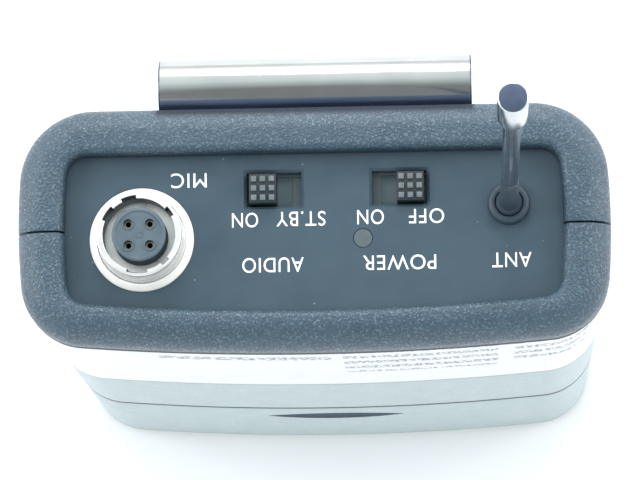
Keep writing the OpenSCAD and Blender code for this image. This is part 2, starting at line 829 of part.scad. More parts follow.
// Up from the snap through the bay's ceiling, across, and up to the main board's lower edge
module battery_leads() {
    low_z = battery_mid[2] + snap_h / 2;
    color([0.7, 0.1, 0.1]) for (p = battery_lead_xz) translate([0, lead_y, 0]) {
        translate([p[0], 0, low_z]) cylinder(r = lead_r, h = p[1] - low_z, $fn = 16);
        for (x = [p[0], p[2]]) translate([x, 0, p[1]]) sphere(r = lead_r, $fn = 16);
        translate([p[2], 0, p[1]]) rotate([0, 90, 0])
            cylinder(r = lead_r, h = p[0] - p[2], $fn = 16);
        translate([p[2], 0, p[1]]) cylinder(r = lead_r, h = lead_end_z - p[1], $fn = 16);
    }
}

// Foam pad that holds the battery against the door
module battery_pad() {
    y0 = battery_min[1] + battery_size[1];
    color([0.25, 0.25, 0.27]) translate([-20, y0, 8]) cube([34, back_in - 1.9 - y0, 16]);
}

rear_shell();
front_collar();
front_cover();
front_label();
top_panel();
battery_door();
door_grip();
socket_barrel();
socket_nut();
socket_insulator();
socket_contacts();
switch_frame(audio_x);  // audio_switch_frame
switch_knob(audio_x, -1);  // audio_switch_knob
switch_frame(power_x);  // power_switch_frame
switch_knob(power_x, 1);  // power_switch_knob
power_lamp();
antenna_collar();
antenna_feed();
antenna_boot();
antenna_sleeve();
antenna_core();
antenna_cap();
belt_clip();
belt_clip_leg();
clip_rivets();
case_screws();
main_board();
board_screws();
rf_shield();
board_parts();
gain_trimmer();
switch_board();
board_header();
socket_leads();
battery_cradle();
battery();
battery_terminals();
battery_snap();
battery_leads();
battery_pad();
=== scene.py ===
import json
from math import asin, atan2, copysign, cos, dist, hypot, pi, radians, sin, sqrt, tan

import bmesh
import bpy
from mathutils import Matrix, Vector

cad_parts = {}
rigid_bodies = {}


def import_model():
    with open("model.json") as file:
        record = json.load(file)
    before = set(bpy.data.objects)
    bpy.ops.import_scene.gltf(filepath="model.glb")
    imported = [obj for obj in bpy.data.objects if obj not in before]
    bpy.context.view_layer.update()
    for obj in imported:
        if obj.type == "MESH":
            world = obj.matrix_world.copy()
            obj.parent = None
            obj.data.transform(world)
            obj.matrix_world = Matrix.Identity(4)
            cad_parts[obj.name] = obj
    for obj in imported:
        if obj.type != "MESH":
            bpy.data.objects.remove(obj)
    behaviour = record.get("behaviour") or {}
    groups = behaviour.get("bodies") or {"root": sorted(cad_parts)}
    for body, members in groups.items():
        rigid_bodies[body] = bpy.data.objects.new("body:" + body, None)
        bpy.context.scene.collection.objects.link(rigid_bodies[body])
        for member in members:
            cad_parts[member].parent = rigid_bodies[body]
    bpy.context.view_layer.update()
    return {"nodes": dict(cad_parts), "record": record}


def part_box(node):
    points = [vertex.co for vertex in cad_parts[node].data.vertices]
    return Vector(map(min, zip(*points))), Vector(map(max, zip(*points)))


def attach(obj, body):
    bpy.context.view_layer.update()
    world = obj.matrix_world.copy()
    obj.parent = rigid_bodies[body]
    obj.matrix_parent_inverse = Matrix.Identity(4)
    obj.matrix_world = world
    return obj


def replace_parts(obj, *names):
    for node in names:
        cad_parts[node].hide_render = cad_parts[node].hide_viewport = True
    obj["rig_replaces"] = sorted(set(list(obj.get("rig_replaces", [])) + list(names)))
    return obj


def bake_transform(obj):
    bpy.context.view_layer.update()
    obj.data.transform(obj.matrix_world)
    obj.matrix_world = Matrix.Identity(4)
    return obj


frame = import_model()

MM = 0.001
TURN = 2 * pi


# ---------- sizes in millimetres, from the frame ----------

def box_mm(node):
    low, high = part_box(node)
    return low / MM, high / MM


rear_high = box_mm("rear_shell")[1]
collar_low, collar_high = box_mm("front_collar")
cover_low, cover_high = box_mm("front_cover")
label_low, label_high = box_mm("front_label")
door_low, door_high = box_mm("battery_door")
grip_low, grip_high = box_mm("door_grip")
panel_low, panel_high = box_mm("top_panel")
barrel_low, barrel_high = box_mm("socket_barrel")
nut_low, nut_high = box_mm("socket_nut")
core_low, core_high = box_mm("socket_insulator")
clip_low, clip_high = box_mm("belt_clip")
leg_low, leg_high = box_mm("belt_clip_leg")

CASE_H = rear_high.z
PANEL_Z = panel_high.z
CORNER_R, REAR_CORNER_R = 7.0, 8.25
BOW = radians(5)           # half angle of the arcs along the front and the sides
COLLAR_Z = 86.0                 # lower edge of the black collar
RIM_IN, RIM_DOWN = 3.0, 3.4     # the rim's rounding, across and down
FLARE_IN, FLARE_DOWN = 0.9, 1.2  # rounding of the rim's inner edge, across and down
WELL_R = 2.2
PANEL_GRIP = 1.45               # how far the panel runs into the shells' groove
GROOVE_GAP = 0.03
STEP = rear_high.x - cover_high.x        # the grey front lies this far inside the black
UNDER_RIM = COLLAR_Z + 0.2      # where the rim's thick part ends
PARTING_Y = collar_high.y + 0.05
SCREW_X = 25.0
SCREW_Z = (38.0, 70.0)
SINK_R, SINK_DEPTH = 2.26, 2.21  # the sunk seats of the case screws
CLIP_T = rear_high.y - clip_low.y
CLIP_ROOM = 2.6                 # how far the clip's pocket ends below the top
STUD_H = 0.25
STUD_Z = box_mm("audio_switch_knob")[1].z - STUD_H * 0.35
SKIN_T = 1.2                    # the made outer skin, and how deep the CAD's inside starts in it
SKIN_IN = 0.7
EDGE = 0.12                     # rounding of the black shells' own edges
SEAM = 0.08                     # extra opening of the seam between the black halves
DOOR_EDGE = 0.34                # rounding of the door's upper edge, where painted shade darkens the seam


# ---------- plan outline of the case and of the well inside its rim ----------

def arc(cx, cy, r, a0, a1, n):
    return [(cx + r * cos(a0 + (a1 - a0) * i / n), cy + r * sin(a0 + (a1 - a0) * i / n))
            for i in range(n + 1)]


def quarter(steps):
    """(cos, sin) of the angles from 0 to 90 degrees, both ends included."""
    angles = [pi / 2 * i / steps for i in range(steps + 1)]
    return [(cos(a), sin(a)) for a in angles]


class Plan:
    """A rounded rectangle with a flat back, whose front and sides are shallow arcs, and whose
    rear corners have a radius of their own."""

    def __init__(self, half_w, y0, y1, r, rear_r):
        t = tan(BOW / 2)
        self.x = (half_w - r - t * (y1 - y0 - 2 * r) / 2) / (1 - t * t / 2)
        self.yf = y0 + r + self.x * t
        self.r, self.rear_r = r, rear_r
        half_l = (y1 - r - self.yf) / 2
        self.side_x = self.x - half_l / tan(BOW)
        self.side_y = self.yf + half_l
        self.side_r = r + half_l / sin(BOW)
        self.rear_y = y1 - rear_r
        run = self.rear_y - self.side_y
        self.rear_x = self.side_x + sqrt((self.side_r - rear_r) ** 2 - run * run)
        self.rear_a = atan2(run, self.rear_x - self.side_x)
        self.front_y = self.yf + self.x / tan(BOW)
        self.front_r = r + self.x / sin(BOW)

    def half(self, rear, inset, split):
        """Points of the rear or front half, counter-clockwise, cut at y = split."""
        right, k = pi / 2, (self.rear_r if rear else self.r) - inset
        side_r = self.side_r - inset
        cut = asin((split - self.side_y) / side_r)
        if rear:
            side = arc(self.side_x, self.side_y, side_r, cut, self.rear_a, 6)
            corner = arc(self.rear_x, self.rear_y, k, self.rear_a, right, 24)
            back = [(self.rear_x * (1 - i / 20), self.rear_y + k) for i in range(1, 21)]
            half = side + corner[1:] + back
            return half + [(-x, y) for x, y in reversed(half[:-1])]
        side = arc(-self.side_x, self.side_y, side_r, 2 * right - cut, 2 * right + BOW, 6)
        corner = arc(-self.x, self.yf, k, 2 * right + BOW, 3 * right - BOW, 24)
        front = arc(0, self.front_y, self.front_r - inset, 3 * right - BOW, 3 * right, 20)
        half = side + corner[1:] + front[1:]
        return half + [(-x, y) for x, y in reversed(half[:-1])]


CASE = Plan(rear_high.x, collar_low.y, rear_high.y, CORNER_R, REAR_CORNER_R)
WELL = Plan(panel_high.x - PANEL_GRIP, panel_low.y + PANEL_GRIP, panel_high.y - PANEL_GRIP,
            WELL_R, WELL_R)


# ---------- mesh helpers ----------

def finish_mesh(obj, material, smooth=30):
    obj.data.materials.clear()
    if material:
        obj.data.materials.append(material)
    obj.data.shade_smooth()
    obj.data.set_sharp_from_angle(angle=radians(smooth))
    return obj


def link_object(name, data):
    obj = bpy.data.objects.new(name, data)
    bpy.context.scene.collection.objects.link(obj)
    return obj


def make_object(name, verts, faces, material=None, smooth=30):
    """A mesh object from points in millimetres."""
    mesh = bpy.data.meshes.new(name)
    mesh.from_pydata([Vector(v) * MM for v in verts], [], faces)
    bm = bmesh.new()
    bm.from_mesh(mesh)
    bmesh.ops.remove_doubles(bm, verts=bm.verts, dist=1e-7)
    bmesh.ops.recalc_face_normals(bm, faces=bm.faces)
    bm.to_mesh(mesh)
    bm.free()
    return finish_mesh(link_object(name, mesh), material, smooth)


def band(a, b, n):
    """Faces between two closed loops of n points that start at points a and b."""
    return [(a + j, a + (j + 1) % n, b + (j + 1) % n, b + j) for j in range(n)]


def skin(name, loops, material=None, smooth=30):
    """Joins a run of loops of equal length into a solid with closed ends."""
    n, count = len(loops[0]), len(loops)
    faces = []
    for i in range(count - 1):
        faces += band(i * n, (i + 1) * n, n)
    faces += [tuple(range(n)), tuple(range((count - 1) * n, count * n))]
    return make_object(name, [p for loop in loops for p in loop], faces, material, smooth)


def shell_half(name, profile, rear, split, material=None):
    """Carries a closed profile of (plan, inset, z) round the rear or front half of the case."""
    paths = [plan.half(rear, inset, split) for plan, inset, z in profile]
    loops = [[(*path[k], point[2]) for path, point in zip(paths, profile)]
             for k in range(len(paths[0]))]
    return skin(name, loops, material)


def plate(name, outline, z0, z1, material=None):
    return skin(name, [[(x, y, z) for x, y in outline] for z in (z0, z1)], material)


def circle(r, steps):
    return [(r * cos(TURN * i / steps), r * sin(TURN * i / steps)) for i in range(steps)]


def lathe(name, profile, centre, material=None, steps=96, smooth=35):
    """Turns a profile of (radius, z) about an upright axis; a profile that starts and ends on
    the axis makes a full body, any other is closed into a ring."""
    x, y = centre
    solid = profile[0][0] == 0 and profile[-1][0] == 0
    rows = profile[1:-1] if solid else profile
    verts = [(x + dx, y + dy, z) for r, z in rows for dx, dy in circle(r, steps)]
    faces = []
    count = len(rows)
    for i in range(count - 1 if solid else count):
        faces += band(i * steps, (i + 1) % count * steps, steps)
    if solid:
        verts += [(x, y, profile[0][1]), (x, y, profile[-1][1])]
        last = (count - 1) * steps
        faces += [(j, (j + 1) % steps, count * steps) for j in range(steps)]
        faces += [(last + j, last + (j + 1) % steps, count * steps + 1) for j in range(steps)]
    return make_object(name, verts, faces, material, smooth)


def block(x0, y0, z0, x1, y1, z1, flare=0.0, name="tool"):
    """A box; flare widens its top, and so turns its sides into chamfers."""
    return skin(name, [[(x0 - f, y0 - f, z), (x1 + f, y0 - f, z),
                        (x1 + f, y1 + f, z), (x0 - f, y1 + f, z)]
                       for z, f in ((z0, 0.0), (z1, flare))])


def rod(start, end, r, steps=40, name="tool"):
    """A cylinder between two points."""
    a, b = Vector(start), Vector(end)
    turn = (b - a).to_track_quat("Z", "Y")
    rings = [[tuple(c + turn @ Vector((*at, 0))) for at in circle(r, steps)] for c in (a, b)]
    return skin(name, rings)


def bake_modifiers(obj):
    graph = bpy.context.evaluated_depsgraph_get()
    mesh = bpy.data.meshes.new_from_object(obj.evaluated_get(graph))
    obj.modifiers.clear()
    obj.data = mesh
    return obj


def combine(obj, tools, operation="DIFFERENCE"):
    """Cuts helper objects out of obj, or joins them to it, and removes them."""
    for tool in tools:
        mod = obj.modifiers.new("combine", "BOOLEAN")
        mod.object, mod.operation, mod.solver = tool, operation, "EXACT"
        bake_modifiers(obj)
        bpy.data.objects.remove(tool)
    return obj


def soften(obj, width, segments=2, angle=40, smooth=30):
    """Rounds the sharp edges of obj by width, in millimetres."""
    mod = obj.modifiers.new("soften", "BEVEL")
    mod.width, mod.segments = width * MM, segments
    mod.limit_method, mod.angle_limit = "ANGLE", radians(angle)
    bake_modifiers(obj)
    return finish_mesh(obj, obj.data.materials[0] if obj.data.materials else None, smooth)


def join(name, objects, material):
    """One object from several that stay separate solids."""
    bm = bmesh.new()
    for o in objects:
        bm.from_mesh(o.data)
    mesh = bpy.data.meshes.new(name)
    bm.to_mesh(mesh)
    bm.free()
    for o in objects:
        bpy.data.objects.remove(o)
    return finish_mesh(link_object(name, mesh), material)


def paint_faces(obj, material, wanted):
    """Gives a second material to the faces that wanted(face) picks."""
    obj.data.materials.append(material)
    for face in obj.data.polygons:
        if wanted(face):
            face.material_index = len(obj.data.materials) - 1
    return obj


def cad_inside(node, inset, z0, z1):
    """The inner part of a CAD node: what lies deeper than inset under the case's outline."""
    inside = make_object(node + "_inside", [v.co / MM for v in frame["nodes"][node].data.vertices],
                         [tuple(p.vertices) for p in frame["nodes"][node].data.polygons])
    outline = CASE.half(True, inset, 0) + CASE.half(False, inset, 0)[1:-1]
    return combine(inside, [plate("tool", outline, z0, z1)], "INTERSECT")


def place(obj, body, slot, *nodes):
    """obj rides on a body and stands for CAD nodes; slot is not used."""
    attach(obj, body)
    if nodes:
        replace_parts(obj, *nodes)


# ---------- materials ----------

class Shader:
    """Builds one node material; cell sizes and depths are in millimetres."""

    def __init__(self, name, color, rough, metal=0.0, **sockets):
        self.mat = bpy.data.materials.new(name)
        self.mat.use_nodes = True
        self.tree = self.mat.node_tree
        self.bsdf = self.tree.nodes["Principled BSDF"]
        self.coord = self.node("ShaderNodeTexCoord").outputs["Object"]
        self.normal = None
        sockets = {key.replace("_", " "): value for key, value in sockets.items()}
        for key, value in {"Base Color": (*color, 1), "Roughness": rough, "Metallic": metal,
                           **sockets}.items():
            self.bsdf.inputs[key].default_value = value

    def node(self, kind, **props):
        made = self.tree.nodes.new(kind)
        for key, value in props.items():
            setattr(made, key, value)
        return made

    def feed(self, socket, value):
        """Links an output to a socket, or sets a number or a colour on it."""
        if isinstance(value, bpy.types.NodeSocket):
            self.tree.links.new(value, socket)
        else:
            socket.default_value = (*value, 1) if isinstance(value, tuple) else value

    def cells_of(self, cell):
        scale = self.node("ShaderNodeMapping")
        size = cell if isinstance(cell, tuple) else (cell,) * 3
        scale.inputs["Scale"].default_value = [1 / (s * MM) for s in size]
        self.feed(scale.inputs["Vector"], self.coord)
        return scale.outputs["Vector"]

    def pattern(self, kind, vector, **values):
        made = self.node("ShaderNodeTex" + kind)
        for key, value in {"Vector": vector, "Scale": 1.0, **values}.items():
            self.feed(made.inputs[key], value)
        return made.outputs

    def noise(self, cell, detail=2.0, rough=0.5):
        return self.pattern("Noise", self.cells_of(cell), Detail=detail, Roughness=rough)["Fac"]

    def cells(self, cell):
        return self.pattern("Voronoi", self.cells_of(cell))["Distance"]

    def span(self, source, low, high, lo_in=0.3, hi_in=0.7):
        made = self.node("ShaderNodeMapRange")
        for key, value in (("Value", source), ("From Min", lo_in), ("From Max", hi_in),
                           ("To Min", low), ("To Max", high)):
            self.feed(made.inputs[key], value)
        return made.outputs["Result"]

    def mix(self, fac, a, b):
        made = self.node("ShaderNodeMix", data_type="RGBA")
        for index, value in ((0, fac), (6, a), (7, b)):
            self.feed(made.inputs[index], value)
        return made.outputs[2]

    def math(self, op, *values):
        made = self.node("ShaderNodeMath", operation=op)
        for socket, value in zip(made.inputs, values):
            self.feed(socket, value)
        return made.outputs["Value"]

    def axes(self):
        split = self.node("ShaderNodeSeparateXYZ")
        self.feed(split.inputs["Vector"], self.coord)
        return split.outputs

    def overlap(self, *bands):
        """1 where all bands of (axis, low, high, soft) meet, fading to 0 over soft outside them."""
        axes = self.axes()
        mask = 1.0
        for axis, low, high, soft in bands:
            at = axes[axis]
            mask = self.math("MULTIPLY", mask, self.span(at, 0, 1, (low - soft) * MM, low * MM))
            mask = self.math("MULTIPLY", mask, self.span(at, 1, 0, high * MM, (high + soft) * MM))
        return mask

    def color(self, source):
        self.feed(self.bsdf.inputs["Base Color"], source)

    def rough(self, source):
        self.feed(self.bsdf.inputs["Roughness"], source)

    def bump(self, height, depth, strength=1.0):
        made = self.node("ShaderNodeBump")
        made.inputs["Strength"].default_value = strength
        made.inputs["Distance"].default_value = depth * MM
        self.feed(made.inputs["Height"], height)
        if self.normal:
            self.feed(made.inputs["Normal"], self.normal)
        self.normal = made.outputs["Normal"]
        self.feed(self.bsdf.inputs["Normal"], self.normal)


def textured_black(name, *shade_places):
    """Spark-eroded moulding: rounded grains of two sizes, with shinier worn tops. Each place of
    painted shade is a tuple of bands (axis, low, high, soft), and lies where they all overlap."""
    s = Shader(name, (0.03, 0.045, 0.06), 0.4, Specular_IOR_Level=0.7)
    fine, coarse = s.noise(0.13, 2, 0.6), s.noise(0.27, 2, 0.55)
    cloud = s.span(s.noise(3.0, 3), 0, 1)
    worn = s.span(coarse, 0, 1, 0.53, 0.66)
    base = s.mix(cloud, (0.018, 0.046, 0.074), (0.025, 0.058, 0.089))
    base = s.mix(worn, base, (0.075, 0.125, 0.16))
    rough = s.span(coarse, 0.46, 0.16, 0.42, 0.64)
    for bands in shade_places:
        mask = s.overlap(*bands)
        # painted shade: near black and dull over each place
        base = s.mix(mask, base, (0.004, 0.012, 0.028))
        rough = s.math("MAXIMUM", rough, s.math("MULTIPLY", mask, 0.8))
    s.color(base)
    s.rough(rough)
    s.bump(coarse, 0.15, 1.0)
    s.bump(fine, 0.05, 0.8)
    return s.mat


def panel_black():
    """Matt panel with a few specks of dust."""
    s = Shader("black_panel", (0.03, 0.05, 0.065), 0.5, Specular_IOR_Level=0.4)
    base = s.mix(s.span(s.noise(3.0, 4), 0, 1), (0.034, 0.062, 0.087), (0.041, 0.073, 0.098))
    speck = s.span(s.cells(1.7), 1, 0, 0.035, 0.07)
    patch = s.span(s.noise(5.0, 1), 0, 0.8, 0.5, 0.6)
    s.color(s.mix(s.math("MULTIPLY", speck, patch), base, (0.25, 0.27, 0.28)))
    s.rough(s.span(s.noise(0.6, 3), 0.42, 0.58))
    s.bump(s.noise(0.14, 2), 0.012, 0.6)
    return s.mat


def grey_satin(name, *seams):
    """Smooth grey moulding, with a painted line of shade at each seam of (low, high, soft, tone)."""
    s = Shader(name, (0.42, 0.49, 0.49), 0.42, Specular_IOR_Level=0.4)
    base = s.mix(s.span(s.noise(3.0, 4), 0, 1), (0.37, 0.445, 0.46), (0.42, 0.495, 0.505))
    for low, high, soft, tone in seams:
        base = s.mix(s.overlap(("Z", low, high, soft)), base, tone)
    s.color(base)
    s.rough(s.span(s.noise(0.5, 3), 0.36, 0.5))
    s.bump(s.noise(0.22, 3), 0.016, 0.6)
    return s.mat


def white_film():
    """White polyester label, with rows of short grey dashes where small print would be."""
    s = Shader("white_label", (0.78, 0.78, 0.80), 0.35)
    axes = s.axes()
    x, z = axes["X"], axes["Z"]

    def inside(value, low, high):
        return s.math("MULTIPLY", s.math("GREATER_THAN", value, low * MM),
                      s.math("LESS_THAN", value, high * MM))

    def marks(letter, fill, low, high, left, right):
        """Rows of specks the size of letters, inside a rectangle; fill is a row's share of its pitch."""
        row = s.math("DIVIDE", s.math("SUBTRACT", high * MM, z), row_pitch * MM)
        in_row = s.math("LESS_THAN", s.math("FRACT", row), fill)
        where = s.node("ShaderNodeCombineXYZ")
        s.feed(where.inputs["X"], s.math("DIVIDE", x, letter * MM))
        s.feed(where.inputs["Y"], s.math("ADD", s.math("MULTIPLY", s.math("FLOOR", row), 7.3),
                                         s.math("MULTIPLY", row, 5.0)))
        pick = s.pattern("Noise", where.outputs["Vector"], Detail=1.0)["Fac"]
        marked = s.math("MULTIPLY", in_row, s.span(pick, 0, 1, 0.47, 0.52))
        area = s.math("MULTIPLY", inside(z, low, high), inside(x, left, right))
        return s.math("MULTIPLY", marked, area)

    top, row_pitch = 85.4, 4.3
    small = s.math("MAXIMUM", marks(0.42, 0.5, 67.0, top, 2.7, 19.9),
                   marks(0.42, 0.5, 69.0, top, 21.7, 31.0))
    ink = s.math("MAXIMUM", small, marks(0.6, 0.6, 76.9, top - row_pitch, -18.0, 1.4))
    paper = s.mix(s.span(s.noise(4.0, 3), 0, 1), (0.71, 0.71, 0.73), (0.75, 0.75, 0.77))
    s.color(s.mix(ink, paper, (0.16, 0.19, 0.24)))
    s.rough(s.span(s.noise(1.0, 3), 0.3, 0.42))
    s.bump(s.noise(3.0, 3), 0.02, 0.4)
    return s.mat


def spring_steel():
    """Bright rolled strip with fine marks along its width, and a painted dark blue reflection of the
    case where the bend faces it.
    """
    s = Shader("spring_steel", (0.5, 0.52, 0.52), 0.15, 1.0)
    steel = s.mix(s.span(s.noise(5.0, 4), 0, 1), (0.47, 0.485, 0.475), (0.53, 0.545, 0.53))
    # painted reflection: dark blue, duller steel where the bend faces the case
    case_reflection = s.overlap(("Y", rear_high.y - 3, rear_high.y + 0.75, 0.35), ("Z", CASE_H - 7, CASE_H, 1))
    steel = s.mix(case_reflection, steel, (0.30, 0.39, 0.60))
    sheared = s.overlap(("X", clip_low.x + 0.2, clip_high.x - 0.2, 0.05))
    s.color(s.mix(sheared, (0.10, 0.12, 0.17), steel))
    s.rough(s.math("ADD", s.span(s.noise((9.0, 0.25, 0.25), 3), 0.07, 0.17),
                   s.math("MULTIPLY", case_reflection, 0.3)))
    s.bump(s.noise((14.0, 0.12, 0.12), 3), 0.006, 0.35)
    s.bump(s.noise(2.4, 2), 0.004, 0.2)
    return s.mat


def moulded(name, color, rough, metal=0.0, cell=0.25, depth=0.01, **sockets):
    """A moulded or plated finish: slight colour drift, grain and uneven gloss."""
    s = Shader(name, color, rough, metal, **sockets)
    low, high = tuple(c * 0.88 for c in color), tuple(min(1, c * 1.08) for c in color)
    s.color(s.mix(s.span(s.noise(cell * 12, 3), 0, 1), low, high))
    s.rough(s.span(s.noise(cell * 3, 3), rough * 0.85, min(1, rough * 1.15)))
    s.bump(s.noise(cell, 3), depth, 0.6)
    return s.mat


def knob_plastic():
    """Dark moulding whose stud tops, above a set height, are lighter grey."""
    s = Shader("knob_plastic", (0.02, 0.03, 0.035), 0.45)
    # width of the fade from the dark deck up to the lighter stud tops
    top_fade = 0.08
    top = s.span(s.axes()["Z"], 0, 1, (STUD_Z - top_fade) * MM, STUD_Z * MM)
    tone = s.mix(s.span(s.noise(0.5, 3), 0, 1), (0.085, 0.11, 0.12), (0.13, 0.16, 0.17))
    s.color(s.mix(top, (0.014, 0.022, 0.028), tone))
    s.rough(s.span(s.noise(0.3, 3), 0.4, 0.55))
    s.bump(s.noise(0.1, 2), 0.008, 0.6)
    return s.mat


# slot: colour, roughness, metal, grain size, grain depth, other sockets
MOULDED = {
    "nickel": ((0.86, 0.85, 0.84), 0.32, 1.0, 0.3, 0.004),
    "screw_steel": ((0.42, 0.43, 0.45), 0.32, 1.0, 0.1, 0.004),
    "black_rubber": ((0.026, 0.044, 0.064), 0.5, 0, 0.15, 0.012),
    "antenna_sleeve": ((0.020, 0.033, 0.052), 0.22, 0, 0.4, 0.006, dict(Coat_Weight=0.3)),
    "dark_insulator": ((0.075, 0.108, 0.135), 0.4, 0, 0.12, 0.006),
    "gold_contact": ((0.30, 0.29, 0.26), 0.3, 1.0, 0.1, 0.003),
    "switch_plastic": ((0.10, 0.145, 0.16), 0.35, 0, 0.15, 0.006),
    "lamp_lens": ((0.075, 0.10, 0.115), 0.28, 0, 0.3, 0.004, dict(Coat_Weight=0.4)),
    "board_green": ((0.02, 0.13, 0.06), 0.35, 0, 0.4, 0.01),
    "chip_black": ((0.02, 0.02, 0.022), 0.5, 0, 0.1, 0.008),
    "trimmer_blue": ((0.03, 0.1, 0.38), 0.35, 0, 0.2, 0.004),
    "header_cream": ((0.66, 0.6, 0.4), 0.45, 0, 0.2, 0.006),
    "lead_red": ((0.42, 0.02, 0.015), 0.35, 0, 0.2, 0.004),
    "cradle_grey": ((0.13, 0.14, 0.15), 0.5, 0, 0.2, 0.01),
    "battery_jacket": ((0.05, 0.07, 0.16), 0.3, 0, 1.0, 0.006, dict(Coat_Weight=0.5)),
    "foam": ((0.05, 0.05, 0.055), 0.9, 0, 0.35, 0.12),
}
MATERIALS = {
    "black_case": textured_black("black_case"),
    "black_panel": panel_black(),
    "grey_case": grey_satin("grey_case"),
    "white_label": white_film(),
    "spring_steel": spring_steel(),
    "knob_plastic": knob_plastic(),
}
for slot, (tone, rough, metal, cell, depth, *others) in MOULDED.items():
    MATERIALS[slot] = moulded(slot, tone, rough, metal, cell, depth, **(others[0] if others else {}))
# Painted shade: the collar darkens towards its lower edge, above the label.
COLLAR_BLACK = textured_black("black_case_collar", (("Z", COLLAR_Z - 1, COLLAR_Z + 0.9, 2.0),))
# Painted shade: near black on the rim under the clip, where the clip shades it, and down the well's rear
# wall above the panel.
REAR_BLACK = textured_black(
    "black_case_rear",
    (("X", clip_low.x, clip_high.x, 0.5), ("Y", rear_high.y - 0.7, rear_high.y, 0.8),
     ("Z", CASE_H - 8, CASE_H, 1)),
    (("X", panel_low.x + 1, panel_high.x - 1, 0.2), ("Y", 0, panel_high.y - PANEL_GRIP + 0.2, 0.2),
     ("Z", PANEL_Z - 1, PANEL_Z + 0.9, 1.4)))
SHADED, SEAM_SHADE = (0.22, 0.28, 0.28), (0.03, 0.045, 0.05)   # painted shade under the label and at the door's foot, and painted shade in the seams
# Painted shadow under the label's lower edge, and painted shade in the seam above the door.
COVER_GREY = grey_satin("grey_case_cover", (label_low.z - 0.9, label_low.z, 0.5, SHADED),
                        (cover_low.z - 1, cover_low.z + 0.1, 0.1, SEAM_SHADE))
# Painted shade in the seam at the door's top, and along the door's foot.
DOOR_GREY = grey_satin("grey_case_door", (door_high.z - 0.5, door_high.z + 1, 0.7, SEAM_SHADE),
                       (-1, 0.4, 0.5, SHADED))
SATIN_NICKEL = moulded("satin_nickel", (0.86, 0.85, 0.815), 0.42, 0.12, 0.3, 0.012)
BARREL_NICKEL = moulded("barrel_nickel", (0.88, 0.87, 0.85), 0.3, 0.8, 0.3, 0.004)
# Painted shade: a darker copy of the barrel's metal for the mouth's wall and keyways.
MOUTH_SHADE = moulded("mouth_painted_shade", (0.22, 0.245, 0.26), 0.42, 1.0, 0.2, 0.003)
CAP_SIDE = moulded("cap_side", (0.58, 0.61, 0.63), 0.13, 1.0, 0.3, 0.002)
SHUTTER = moulded("shutter_plastic", (0.095, 0.145, 0.165), 0.4, 0, 0.2, 0.006)
# Painted reflection: a darker, bluer copy of the cap's metal for its flat end.
CAP_END_REFLECTION = moulded("cap_end_painted_reflection", (0.13, 0.16, 0.235), 0.35, 1.0, 0.2, 0.004)
LEGEND = moulded("legend_ink", (0.88, 0.88, 0.90), 0.5, 0, 0.08, 0.004)
BLACK, GREY, PANEL = (MATERIALS[k] for k in ("black_case", "grey_case", "black_panel"))


# ---------- case ----------

def rim(low_inset, low_z):
    """The outside from a lower edge over the rim and down the well to the panel's groove."""
    edge = 0.3
    points = [(CASE, low_inset + edge, low_z), (CASE, low_inset + edge * 0.3, low_z + edge * 0.3),
              (CASE, low_inset, low_z + edge)]
    points += [(CASE, RIM_IN * (1 - c), CASE_H - RIM_DOWN * (1 - s)) for c, s in quarter(14)]
    points += [(WELL, -FLARE_IN * (1 - s), CASE_H - FLARE_DOWN * (1 - c)) for c, s in quarter(8)]
    lip_top, lip_low = PANEL_Z + GROOVE_GAP, panel_low.z - GROOVE_GAP
    depth = PANEL_GRIP + GROOVE_GAP
    return points + [(WELL, 0, lip_top), (WELL, -depth, lip_top), (WELL, -depth, lip_low),
                     (WELL, 0, lip_low)]


def rear_shell():
    profile = rim(0, 0) + [(WELL, 0, UNDER_RIM), (CASE, SKIN_T, UNDER_RIM), (CASE, SKIN_T, 0)]
    shell = shell_half("rear_shell_skin", profile, True, PARTING_Y + SEAM)
    gap = 0.03
    pocket = block(clip_low.x - gap, rear_high.y - CLIP_T - 0.01, clip_low.z - gap,
                   clip_high.x + gap, rear_high.y + 3, CASE_H - CLIP_ROOM)
    sinks = [rod((x, rear_high.y - SINK_DEPTH, z), (x, rear_high.y + 2, z), SINK_R)
             for x in (-SCREW_X, SCREW_X) for z in SCREW_Z]
    combine(shell, [pocket] + sinks)
    soften(shell, EDGE)
    combine(shell, [cad_inside("rear_shell", SKIN_IN, 0.02, COLLAR_Z - 2)], "UNION")
    finish_mesh(shell, REAR_BLACK)
    place(shell, "case", "black_case", "rear_shell")


def front_collar():
    profile = rim(0, COLLAR_Z) + [(WELL, 0, UNDER_RIM), (CASE, STEP + SKIN_T, UNDER_RIM),
                                  (CASE, STEP + SKIN_T, COLLAR_Z)]
    collar = shell_half("front_collar_skin", profile, False, collar_high.y - SEAM, BLACK)
    soften(collar, EDGE)
    inside = cad_inside("front_collar", STEP + SKIN_IN, collar_low.z - 1, UNDER_RIM - 0.05)
    combine(collar, [inside], "UNION")
    finish_mesh(collar, COLLAR_BLACK)
    place(collar, "case", "black_case", "front_collar")


def front_skin(name, z0, z1, split, low_edge, top_edge):
    """A wall of the grey front between two heights, rounded at its lower and upper edges."""
    inner = STEP + SKIN_T
    profile = [(CASE, inner, z1), (CASE, inner, z0)]
    profile += [(CASE, STEP + low_edge * (1 - s), z0 + low_edge * (1 - c)) for c, s in quarter(5)]
    profile += [(CASE, STEP + top_edge * (1 - c), z1 - top_edge * (1 - s)) for c, s in quarter(5)]
    return shell_half(name, profile, False, split, GREY)


def front_cover():
    cover = front_skin("front_cover_skin", cover_low.z, COLLAR_Z - 0.01, cover_high.y, 0.2, 0.05)
    inside = cad_inside("front_cover", STEP + SKIN_IN, cover_low.z + 0.1, COLLAR_Z - 0.1)
    combine(cover, [inside], "UNION")
    finish_mesh(cover, COVER_GREY)
    place(cover, "case", "grey_case", "front_cover")


GRIP_Z = (grip_low.z + grip_high.z) / 2
GRIP_HALF_W = grip_high.x
GRIP_HALF_H = (grip_high.z - grip_low.z) / 2


